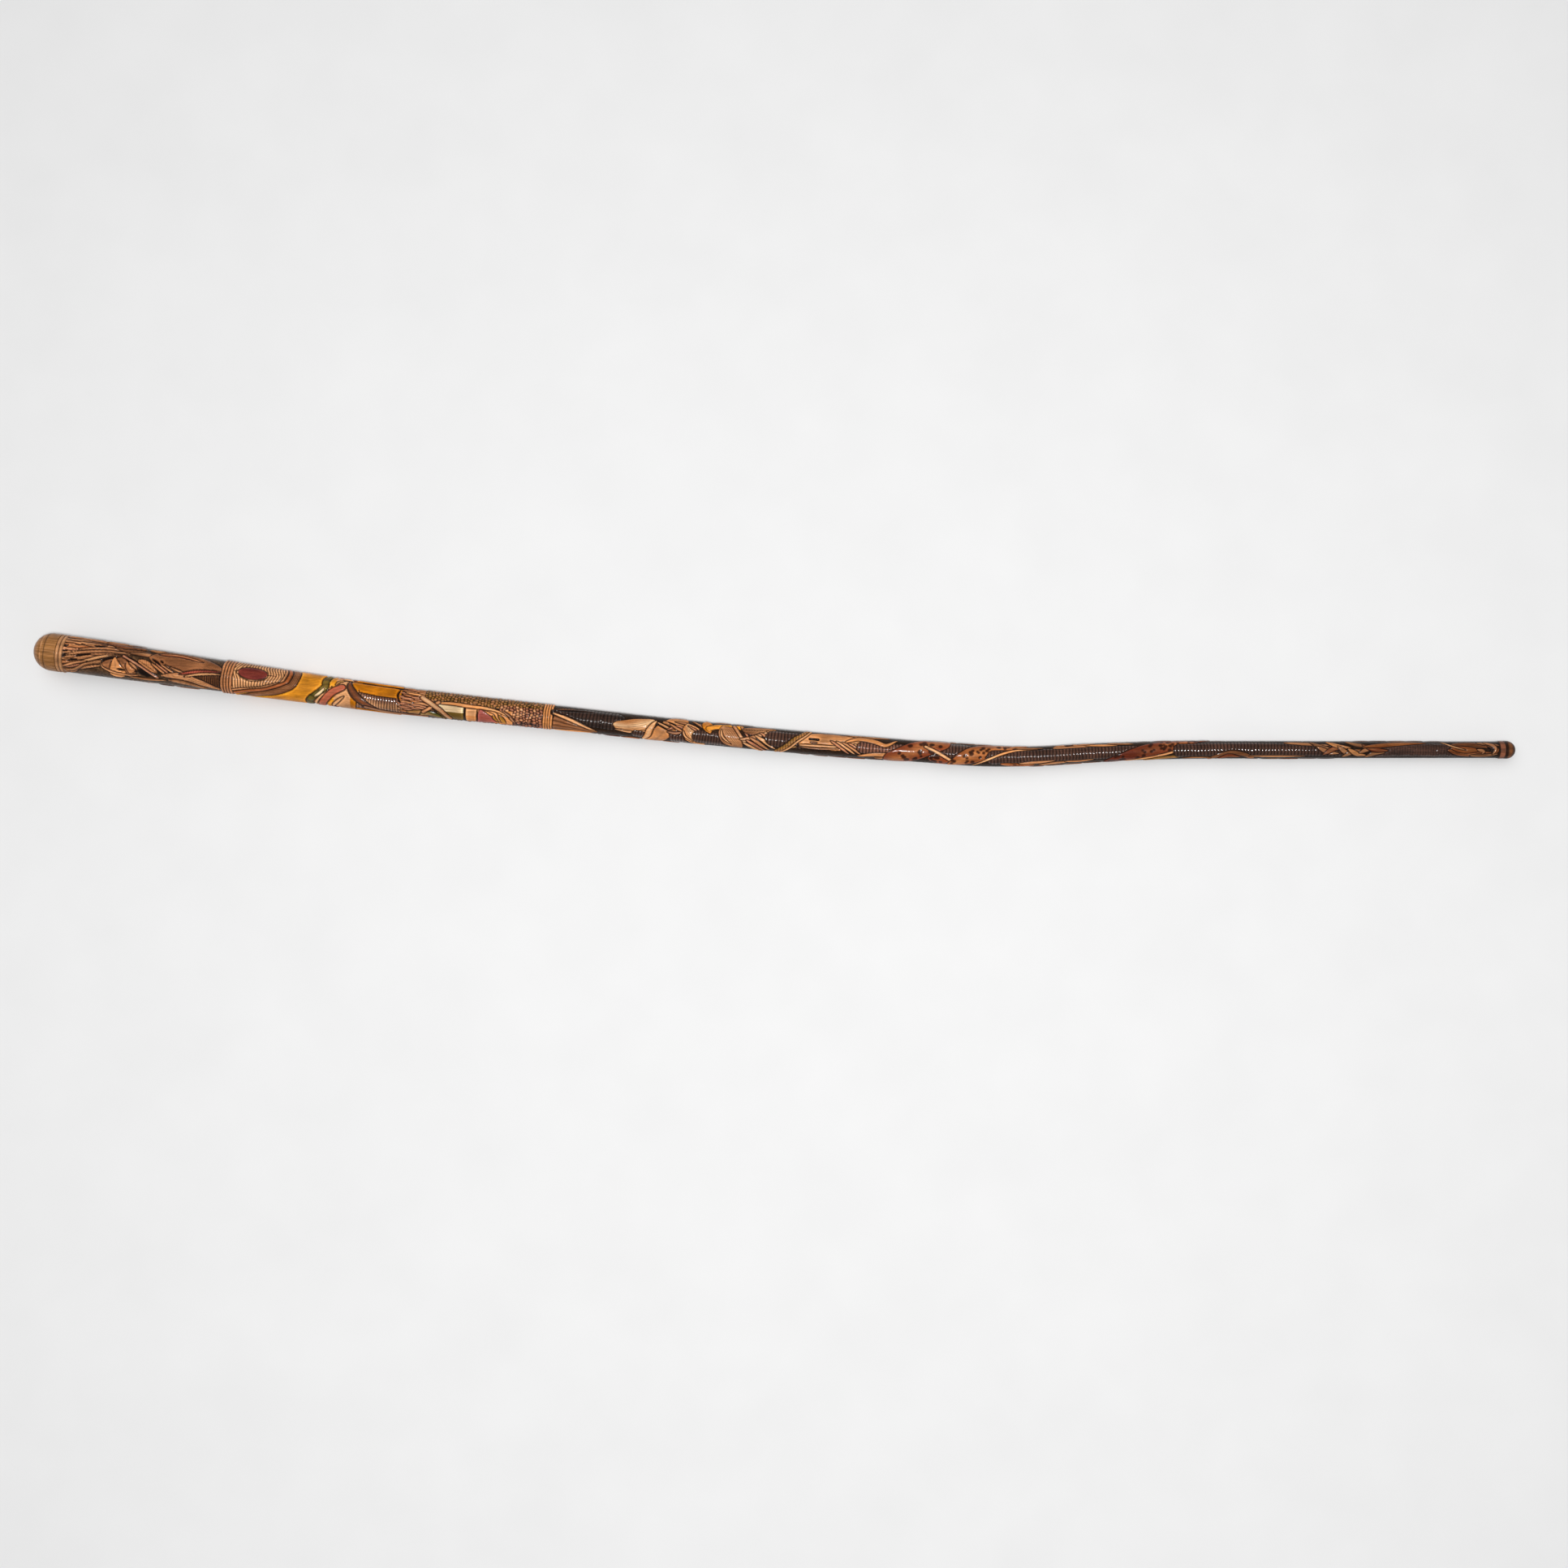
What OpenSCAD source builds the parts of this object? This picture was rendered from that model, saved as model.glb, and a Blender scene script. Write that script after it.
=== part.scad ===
// Carved walking stick: one long carved sapling with a turned cap on its head and another on its foot.
// It lies on the ground with the foot towards +X, and the origin is under the middle of its box.

/* [Stick] */
// Length of the whole stick along X, from the top of the head to the end of the foot
stick_len = 905; // [900:1:910]
// Diameter of the head, and of the shaft where the head is fixed
head_d = 23; // [22:0.1:23.5]
// Diameter of the straight foot, which a rubber ferrule pushes onto
foot_d = 10.8; // [10.4:0.1:11.4]
// Length of the straight round stretch of shaft at the foot
foot_straight = 22.4; // [18:0.1:26]

/* [Head] */
// Length of the cap's plain band, from the dome to the collar
cap_band = 4.8; // [4:0.1:6]
// Length of the collar with its two beads
collar_len = 4.6; // [4:0.1:6]
// Depth of the cuts between the beads
bead_depth = 0.8; // [0.4:0.1:1.2]
// Diameter of the dowel in the head
head_dowel_d = 8; // [6:0.5:10]
// How far the dowel goes into the shaft
head_dowel_in_shaft = 26; // [18:1:32]
// How far the dowel goes into the cap, from the cap's face
head_dowel_in_cap = 9; // [6:0.5:11]

/* [Foot] */
// Length of the foot cap's plain band
foot_band = 1.2; // [0.8:0.1:2]
// Length of the pale ring above the foot cap
foot_ring_len = 4; // [3:0.1:5]
// Diameter of the dowel in the foot
foot_dowel_d = 3.2; // [2.5:0.1:4]
// How far the dowel goes into the shaft
foot_dowel_in_shaft = 12; // [8:1:16]
// How far the dowel goes into the foot cap, from the cap's face
foot_dowel_in_cap = 4; // [3:0.1:4.5]
// Gap that the glue fills, all round each dowel
glue_gap = 0.05; // [0.02:0.01:0.1]

/* [Hidden] */
$fn = 64;
head_r = head_d / 2;
foot_r = foot_d / 2;

// How the sapling grew, at a length of 905: distance from the top of the head, sideways place and radius
grown_len = 905;
growth = [
    [11.5, 29.5, 11.5], [30, 26.9, 11.5], [80, 19.8, 10.8], [130, 12.7, 9.9], [180, 5.7, 9.0],
    [230, -1.0, 8.6], [280, -6.3, 8.0], [330, -11.6, 7.8], [380, -17.0, 7.5], [430, -22.1, 7.4],
    [480, -26.6, 7.4], [530, -30.3, 7.0], [570, -33.3, 7.0], [592, -34.2, 6.6], [612, -33.9, 6.4],
    [635, -32.5, 6.2], [660, -31.2, 6.0], [700, -30.2, 5.8], [750, -30, 5.7], [810, -30, 5.5],
    [860, -30, 5.4], [874, -30, 5.4]
];
last = len(growth) - 1;
span_steps = 3;
shaft_sides = 32;

// The same stations at the chosen length and diameters
grown_head_r = growth[0][2];
grown_foot_r = growth[last][2];
function fitted_r(r) = foot_r + (r - grown_foot_r) * (head_r - foot_r) / (grown_head_r - grown_foot_r);
stations = [for (g = growth) [g[0] * stick_len / grown_len, g[1], fitted_r(g[2])]];

// A smooth curve through the stations
function station(i) = i < 0 ? 2 * stations[0] - stations[1]
    : i > last ? 2 * stations[last] - stations[last - 1] : stations[i];
function blend(a, b, c, d, t) =
    (2 * b + (c - a) * t + (2 * a - 5 * b + 4 * c - d) * t * t + (3 * b - a - 3 * c + d) * t * t * t) / 2;
function on_curve(i, t) = blend(station(i - 1), station(i), station(i + 1), station(i + 2), t);

// The head's axis leans from +X towards -Y
head_lean = atan2(stations[0][1] - stations[1][1], stations[1][0] - stations[0][0]);
head_centre = [head_r, stations[0][1], head_r];
shaft_from = cap_band + collar_len;
shaft_start = [head_r + shaft_from * cos(head_lean), stations[0][1] - shaft_from * sin(head_lean), head_r];

// The foot's axis lies along +X
foot_centre = [stick_len - foot_r, stations[last][1], foot_r];
foot_face = -foot_band - foot_ring_len;
foot_tuck = 2;
swept_to = stick_len - foot_r + foot_face - foot_straight + foot_tuck;

// Rings of the swept shaft: place along X, place along Y and radius
swept = [for (i = [1:last - 1], k = [0:span_steps - 1]) let (p = on_curve(i, k / span_steps))
    if (p[0] > shaft_start[0] + foot_tuck && p[0] < swept_to - 2 * foot_tuck) p];
rings = concat([shaft_start], swept,
    [[swept_to - foot_tuck, stations[last][1], foot_r - glue_gap], [swept_to, stations[last][1], foot_r - glue_gap]]);
ring_count = len(rings);
function heading(i) = i == 0 ? -head_lean : i > ring_count - 3 ? 0
    : atan2(rings[i + 1][1] - rings[i - 1][1], rings[i + 1][0] - rings[i - 1][0]);

// Each ring stands upright across the shaft, with its lowest point on the ground
function ring_points(i) = let (c = rings[i], a = heading(i)) [for (k = [0:shaft_sides - 1])
    let (turn = 360 * k / shaft_sides - 90, out = c[2] * cos(turn))
    [c[0] - out * sin(a), c[1] + out * cos(a), c[2] + c[2] * sin(turn)]];

// The box's middle in Y, between the side of the head and the outside of the bend
side_low = min([for (i = [0:ring_count - 1]) min([for (p = ring_points(i)) p[1]])]);
mid_y = (head_centre[1] + head_r + side_low) / 2;

module placed() {
    translate([-stick_len / 2, -mid_y, 0]) children();
}

module on_head_axis(along) {
    placed() translate(head_centre) rotate([0, 0, -head_lean]) translate([along, 0, 0])
        rotate([0, 90, 0]) children();
}

module on_foot_axis(along) {
    placed() translate(foot_centre + [along, 0, 0]) rotate([0, 90, 0]) children();
}

module swept_shaft() {
    side = [for (i = [0:ring_count - 2], k = [0:shaft_sides - 1])
        let (a = i * shaft_sides + k, b = i * shaft_sides + (k + 1) % shaft_sides)
        [a, a + shaft_sides, b + shaft_sides, b]];
    start_face = [for (k = [0:shaft_sides - 1]) k];
    end_face = [for (k = [shaft_sides - 1:-1:0]) (ring_count - 1) * shaft_sides + k];
    polyhedron([for (i = [0:ring_count - 1]) each ring_points(i)], concat(side, [start_face, end_face]), convexity = 6);
}

// The carved sapling, with a blind hole for a dowel in each end
module shaft() {
    color("#6b4429") difference() {
        union() {
            placed() swept_shaft();
            on_foot_axis(foot_face - foot_straight) cylinder(r = foot_r, h = foot_straight);
        }
        on_head_axis(shaft_from - 1)
            cylinder(d = head_dowel_d + 2 * glue_gap, h = head_dowel_in_shaft + glue_gap + 1);
        on_foot_axis(foot_face - foot_dowel_in_shaft - glue_gap)
            cylinder(d = foot_dowel_d + 2 * glue_gap, h = foot_dowel_in_shaft + glue_gap + 1);
    }
}

// Half outline of a dome with a band behind it, for turning about its axis
module dome_outline(r, band) {
    intersection() {
        union() {
            circle(r = r);
            translate([0, -band]) square([r, band]);
        }
        translate([0, -band]) square([r, band + r]);
    }
}

// Ring-shaped cut of a V section into a turned surface
module score(r, depth) {
    rotate_extrude() translate([r, 0]) rotate([0, 0, 45]) square(depth * sqrt(2), center = true);
}

// Turned dome with a plain band and a scored line round its shoulder
module head_cap() {
    score_back = 2.1;
    score_depth = 0.4;
    color("#93683b") difference() {
        on_head_axis(0) mirror([0, 0, 1]) rotate_extrude() dome_outline(head_r, cap_band);
        on_head_axis(cap_band - head_dowel_in_cap - glue_gap)
            cylinder(d = head_dowel_d + 2 * glue_gap, h = head_dowel_in_cap + glue_gap + 1);
        on_head_axis(-score_back) score(sqrt(head_r * head_r - score_back * score_back), score_depth);
    }
}

// Collar with two beads, cut by three rings of V section
module head_collar() {
    bead = collar_len / 2;
    color("#b08450") on_head_axis(cap_band) difference() {
        cylinder(r = head_r, h = collar_len);
        translate([0, 0, -1]) cylinder(d = head_dowel_d + 2 * glue_gap, h = collar_len + 2);
        for (k = [0:2]) translate([0, 0, k * bead]) score(head_r, bead_depth);
    }
}

module head_dowel() {
    color("#d2b48c") on_head_axis(cap_band - head_dowel_in_cap)
        cylinder(d = head_dowel_d, h = head_dowel_in_cap + collar_len + head_dowel_in_shaft);
}

// Small turned dome that ends the foot
module foot_cap() {
    color("#5b3a28") difference() {
        on_foot_axis(0) rotate_extrude() dome_outline(foot_r, foot_band);
        on_foot_axis(-foot_band - 1)
            cylinder(d = foot_dowel_d + 2 * glue_gap, h = foot_dowel_in_cap + glue_gap + 1);
    }
}

// Pale ring between the shaft and the foot cap
module foot_ring() {
    color("#9c7350") on_foot_axis(foot_face) difference() {
        cylinder(r = foot_r, h = foot_ring_len);
        translate([0, 0, -1]) cylinder(d = foot_dowel_d + 2 * glue_gap, h = foot_ring_len + 2);
    }
}

module foot_dowel() {
    color("#d2b48c") on_foot_axis(foot_face - foot_dowel_in_shaft)
        cylinder(d = foot_dowel_d, h = foot_dowel_in_shaft + foot_ring_len + foot_dowel_in_cap);
}

shaft();
head_cap();
head_collar();
head_dowel();
foot_cap();
foot_ring();
foot_dowel();
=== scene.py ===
import math

import bpy
import numpy as np
from mathutils import Matrix, Vector


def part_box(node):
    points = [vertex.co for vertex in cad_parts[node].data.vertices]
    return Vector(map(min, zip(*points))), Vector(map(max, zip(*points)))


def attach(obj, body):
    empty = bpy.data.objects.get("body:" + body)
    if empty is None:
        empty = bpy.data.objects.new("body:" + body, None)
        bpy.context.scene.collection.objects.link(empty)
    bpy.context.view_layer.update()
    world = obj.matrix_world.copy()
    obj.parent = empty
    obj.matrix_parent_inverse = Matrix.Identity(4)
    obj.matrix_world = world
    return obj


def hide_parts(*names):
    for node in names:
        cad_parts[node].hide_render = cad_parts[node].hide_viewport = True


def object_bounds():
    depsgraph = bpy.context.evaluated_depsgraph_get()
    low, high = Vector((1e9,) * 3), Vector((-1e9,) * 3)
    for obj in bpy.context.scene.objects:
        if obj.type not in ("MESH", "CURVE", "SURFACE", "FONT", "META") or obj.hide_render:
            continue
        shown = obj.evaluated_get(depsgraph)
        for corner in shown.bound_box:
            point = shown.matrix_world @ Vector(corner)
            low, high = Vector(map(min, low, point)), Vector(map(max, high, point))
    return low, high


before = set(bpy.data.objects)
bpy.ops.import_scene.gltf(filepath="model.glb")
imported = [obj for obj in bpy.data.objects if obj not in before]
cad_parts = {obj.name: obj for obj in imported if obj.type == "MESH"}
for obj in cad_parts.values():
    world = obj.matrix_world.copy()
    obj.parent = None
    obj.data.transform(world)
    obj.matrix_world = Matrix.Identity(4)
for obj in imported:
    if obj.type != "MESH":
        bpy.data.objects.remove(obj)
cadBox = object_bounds()
mm = 0.001


def linear(hexColour):
    # an sRGB hex value as linear light
    channels = [int(hexColour[i:i + 2], 16) / 255 for i in (1, 3, 5)]
    return np.array([c / 12.92 if c <= 0.04045 else ((c + 0.055) / 1.055) ** 2.4 for c in channels])


# stains and paints on the wood
tones = {
    "burnt": "#1a0d07",
    "spot": "#35170c",
    "ground": "#3a2618",
    "stipple": "#66482f",
    "blackRib": "#2f1e16",
    "darkRib": "#4a2f23",
    "roseRib": "#704838",
    "brown": "#7e4d2d",
    "redBrown": "#965024",
    "rust": "#843c1c",
    "oxblood": "#6a2a14",
    "rose": "#a8674a",
    "tan": "#ab6f46",
    "paleTan": "#d49765",
    "orange": "#d0874d",
    "amber": "#da8b22",
    "honey": "#bd6f0c",
    "olive": "#90642a",
    "moss": "#6f5320",
    "maroon": "#702a24",
    "wine": "#a4544a",
    "red": "#b2583c",
    "green": "#55501f",
    "cream": "#ecc99b",
    "band": "#9c6a3a",
}
stain = {name: linear(value) for name, value in tones.items()}


# camera and light
view = {"height": 1.1605, "right": 0.0044, "up": -0.0510, "lens": 43.25, "sensor": 36}


def newObject(name, data):
    thing = bpy.data.objects.new(name, data)
    bpy.context.scene.collection.objects.link(thing)
    return thing


def addCamera():
    camera = bpy.data.cameras.new("plan_view")
    camera.lens = view["lens"]
    camera.sensor_width = view["sensor"]
    seat = newObject("plan_view", camera)
    seat.location = (view["right"], view["up"], view["height"])
    bpy.context.scene.camera = seat


lighting = {"lampPlace": (0.05, -0.16, 1.5), "lampSize": (0.2, 0.12), "lampWatts": 14,
            "skyFrom": (-0.25, 0.3, 1.0), "skySpread": 70, "skyStrength": 1.45,
            "room": 0.29, "seenRoom": 0.62}


def addLamp(name, kind, place, power):
    lamp = bpy.data.lights.new(name, kind)
    lamp.energy = power
    holder = newObject(name, lamp)
    holder.location = place
    holder.rotation_euler = Vector(place).to_track_quat("Z", "Y").to_euler()
    return lamp


def addLamps():
    # a small lamp overhead for the glints, and a broad soft sky for the rest
    lamp = addLamp("over_lamp", "AREA", lighting["lampPlace"], lighting["lampWatts"])
    lamp.shape = "RECTANGLE"
    lamp.size, lamp.size_y = lighting["lampSize"]
    sky = addLamp("soft_sky", "SUN", lighting["skyFrom"], lighting["skyStrength"])
    sky.angle = math.radians(lighting["skySpread"])
    # the sky lights the wood, but the varnish mirrors only the lamp and the room
    bpy.data.objects["soft_sky"].visible_glossy = False
    world = bpy.data.worlds.new("soft_room")
    world.use_nodes = True
    tree = world.node_tree
    backdrop = tree.nodes["Background"]
    backdrop.inputs["Color"].default_value = (1, 1, 1, 1)
    # the room looks paler than the light it gives, so that it meets the floor
    rays = addNode(tree, "LightPath")
    seen = spanInputs(rays.outputs["Is Camera Ray"], 0, 1, lighting["room"], lighting["seenRoom"])
    strength = addNode(tree, "MapRange", seen)
    tree.links.new(strength.outputs["Result"], backdrop.inputs["Strength"])
    bpy.context.scene.world = world
    bpy.context.scene.view_settings.view_transform = "Standard"


# the stick's own line, read from the frame
slicing = {"step": 2.0, "inset": 4.0, "soften": 4, "endRun": 5}
sheet = {"ringStep": 0.33, "columns": 160, "depthShare": 0.078}


def meshPoints(node):
    points = np.empty(len(node.data.vertices) * 3)
    node.data.vertices.foreach_get("co", points)
    return points.reshape(-1, 3)


def sliceShaft(stations):
    # middle and radius of the shaft where upright planes across the stick cut it
    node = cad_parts["shaft"]
    points = meshPoints(node)
    ends = np.empty(len(node.data.edges) * 2, int)
    node.data.edges.foreach_get("vertices", ends)
    first, second = points[ends[0::2]], points[ends[1::2]]
    middles, radii = [], []
    for x in stations:
        crossing = (first[:, 0] - x) * (second[:, 0] - x) < 0
        a, b = first[crossing], second[crossing]
        share = (x - a[:, 0]) / (b[:, 0] - a[:, 0])
        hits = a + (b - a) * share[:, None]
        middles.append((hits[:, 1].min() + hits[:, 1].max()) / 2)
        radii.append((hits[:, 2].max() - hits[:, 2].min()) / 2)
    return np.array(middles), np.array(radii)


def evened(values, passes):
    # a run of values with its small steps smoothed out, its ends kept in line
    for _ in range(passes):
        padded = np.concatenate([[2 * values[0] - values[1]], values, [2 * values[-1] - values[-2]]])
        values = (padded[:-2] + 2 * padded[1:-1] + padded[2:]) / 4
    return values


def readSpine():
    low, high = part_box("shaft")
    inset = slicing["inset"] * mm
    stations = np.arange(low.x + inset, high.x - inset, slicing["step"] * mm)
    middles, radii = sliceShaft(stations)
    middles, radii = evened(middles, slicing["soften"]), evened(radii, slicing["soften"])
    # both ends run on straight, as far as the tips
    run = slicing["endRun"]
    rise = (middles[run] - middles[0]) / (stations[run] - stations[0])
    tip = cadBox[0].x - inset
    stations = np.concatenate([[tip], stations, [cadBox[1].x + inset]])
    middles = np.concatenate([[middles[0] + rise * (tip - stations[1])], middles, [middles[-1]]])
    radii = np.concatenate([[radii[0]], radii, [radii[-1]]])
    lean = np.arctan(np.gradient(middles, stations))
    return {"x": stations, "y": middles, "radius": radii, "lean": lean}


spine = readSpine()
headX = cadBox[0].x


def radiusAt(along):
    return np.interp(headX + along * mm, spine["x"], spine["radius"]) / mm


def onStick(along, turn, height):
    # along: mm from the thick end. turn: degrees round, 0 on top, more towards the front. height: mm
    x = headX + along * mm
    y = np.interp(x, spine["x"], spine["y"])
    lean = np.interp(x, spine["x"], spine["lean"])
    radius = np.interp(x, spine["x"], spine["radius"])
    reach = radius + height * mm
    side = reach * np.sin(np.radians(turn))
    above = radius + reach * np.cos(np.radians(turn))
    return np.stack([x + side * np.sin(lean), y - side * np.cos(lean), above], -1)


def shaftEnds():
    # where the shaft starts and stops, in mm along the stick
    lean = spine["lean"][1]
    forward = np.array([math.cos(lean), math.sin(lean)])
    startPlane = (meshPoints(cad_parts["shaft"])[:, :2] @ forward).min()
    spinePlanes = spine["x"] * forward[0] + spine["y"] * forward[1]
    start = np.interp(startPlane, spinePlanes, spine["x"])
    return (start - headX) / mm, (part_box("shaft")[1].x - headX) / mm


# the carving, laid out flat and then rolled on
shaftStart, shaftEnd = shaftEnds()
rings = round((shaftEnd - shaftStart) / sheet["ringStep"]) + 1
alongs = np.linspace(shaftStart, shaftEnd, rings)
turns = np.linspace(-180, 180, sheet["columns"], endpoint=False)
ringRadius = radiusAt(alongs)
cutDepth = ringRadius * sheet["depthShare"]
aroundMm = np.radians(turns)[None, :] * ringRadius[:, None]
chance = np.random.default_rng(7)


def softened(values, passes):
    # neighbours averaged, going on round the stick
    for _ in range(passes):
        values = (np.roll(values, 1, 1) + 2 * values + np.roll(values, -1, 1)) / 4
        padded = np.concatenate([values[:1], values, values[-1:]])
        values = (padded[:-2] + 2 * padded[1:-1] + padded[2:]) / 4
    return values


def blotches(passes):
    # soft random hills, about -1 to 1
    field = softened(chance.standard_normal((rings, len(turns))), passes)
    return field / np.abs(field).max()


# small waves, fine grit and broad patches
wobble, speckle, mottle = blotches(24), blotches(2), blotches(160)
# 0 is the outside of the stick and -1 the bottom of the cuts
height = np.full((rings, len(turns)), -1.0) + 0.22 * speckle
colour = np.empty((rings, len(turns), 3))
colour[:] = stain["ground"]
colour *= (1 + 0.55 * speckle)[..., None]
# how thick the gloss varnish stands, 0 to 1
shine = np.zeros((rings, len(turns)))


def mixed(first, second, share):
    return first + (second - first) * np.clip(share, 0, 1)[..., None]


def smoothPath(points, perSpan=7):
    marks = np.array(points, float)
    marks = np.vstack([2 * marks[0] - marks[1], marks, 2 * marks[-1] - marks[-2]])
    t = np.linspace(0, 1, perSpan, endpoint=False)[:, None]
    runs = []
    for a, b, c, d in zip(marks, marks[1:], marks[2:], marks[3:]):
        runs.append(0.5 * (2 * b + (c - a) * t + (2 * a - 5 * b + 4 * c - d) * t ** 2
                           + (3 * b - a - 3 * c + d) * t ** 3))
    return np.vstack(runs + [marks[-2:-1]])


def follow(path, reach):
    # for the cells near a path: how far along it they are and how far to its side, in mm
    curve = smoothPath(path)
    middle = curve[:, 1].mean()
    mmPerDegree = math.radians(radiusAt(curve[:, 0].mean()))
    curve = np.column_stack([curve[:, 0], (curve[:, 1] - middle) * mmPerDegree])
    across = ((turns - middle + 180) % 360 - 180) * mmPerDegree
    low, high = curve.min(0) - reach, curve.max(0) + reach
    rows = np.flatnonzero((alongs > low[0]) & (alongs < high[0]))
    columns = np.flatnonzero((across > low[1]) & (across < high[1]))
    a, c = alongs[rows][:, None], across[columns][None, :]
    nearest = np.full((len(rows), len(columns)), np.inf)
    travel, side, past = np.zeros_like(nearest), np.zeros_like(nearest), np.zeros_like(nearest)
    gone = 0.0
    for start, end in zip(curve, curve[1:]):
        step = end - start
        length = np.hypot(*step)
        offA, offC = a - start[0], c - start[1]
        reached = (offA * step[0] + offC * step[1]) / length ** 2
        share = np.clip(reached, 0, 1)
        distance = np.hypot(offA - share * step[0], offC - share * step[1])
        closer = distance < nearest
        nearest = np.where(closer, distance, nearest)
        travel = np.where(closer, gone + share * length, travel)
        side = np.where(closer, np.sign(step[0] * offC - step[1] * offA) * distance, side)
        past = np.where(closer, np.abs(reached - share) * length, past)
        gone += length
    return np.ix_(rows, columns), travel, side, past, gone


def outlineWidth(shape, t):
    if shape == "leaf":
        return np.sin(np.pi * np.clip(t, 0, 1) ** 0.85) ** 0.7
    if shape == "egg":
        return np.sqrt(np.clip(4 * t * (1 - t), 0, 1))
    if shape == "taper":
        return np.clip(1 - t, 0, 1) ** 0.75
    if shape == "grow":
        return 0.35 + 0.65 * np.clip(t * 1.6, 0, 1)
    return np.ones_like(t)  # even, with round ends


# a form's outline and stain, a painted highlight that pales it towards another tone along its crest, and its
# heights as shares of the cuts' depth
plain = {
    "shape": "leaf", "tone": "tan", "topTone": "paleTan", "top": 0.5, "level": -0.45, "crown": 0.4,
    "ribPitch": 0, "ribDepth": 0.35, "ribInk": 0.6, "slant": 0, "chevron": 0,
    "lines": 0, "lineDepth": 0.2, "lineInk": 0.45, "midrib": 0, "spots": 0, "spotSize": 1.1,
    "groove": 0.55, "ink": 0.8, "rough": 0.05, "square": False, "shine": 0.08, "startTone": None,
}
looks = {
    "strand": {"crown": 0.5},
    "leaf": {"ribPitch": 1.6, "chevron": 0.9, "ribDepth": 0.18, "ribInk": 0.35, "midrib": 0.4},
    "smoothLeaf": {"lines": 2, "lineDepth": 0.12, "lineInk": 0.25},
    "feather": {"lines": 4, "lineDepth": 0.35, "lineInk": 0.7},
    "strap": {"shape": "even", "crown": 0.3, "topTone": "cream", "top": 0.2},
    "rope": {"shape": "even", "ribPitch": 2.1, "slant": 0.8, "ribDepth": 0.5},
    "snake": {"shape": "even", "tone": "darkRib", "topTone": "roseRib", "top": 0.15, "level": -0.6,
              "crown": 0.55, "ribPitch": 2.15, "ribDepth": 0.7, "ribInk": 0.9, "shine": 1.0},
    "shell": {"lines": 10, "lineDepth": 0.35, "lineInk": 0.7, "crown": 0.5},
    "hide": {"shine": 0.35, "tone": "orange", "spots": 14, "spotSize": 1.35, "top": 0.3},
    "pod": {"shape": "egg", "crown": 0.6},
    "hollow": {"level": -1.4, "crown": -0.3, "tone": "burnt", "top": 0, "groove": 0.2, "ink": 0.9},
}

# how the knife works: reach, wander and edge in mm, the rest as shares of the depth or of the ink
knife = {"reach": 1.5, "wander": 0.14, "patchy": 0.25, "tintFrom": 0.28, "tintOver": 0.34, "tintWander": 0.12,
         "ribWander": 0.25, "lineWander": 0.6, "midribWidth": 0.35, "midribInk": 0.6,
         "spotStretch": 1.25, "spotWander": 0.5, "spotEdge": 0.12, "spotDrop": 0.3, "spotInk": 0.93,
         "edge": 0.45, "edgeInk": 0.45, "edgeDrop": 0.25, "undercut": 0.25}


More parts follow.
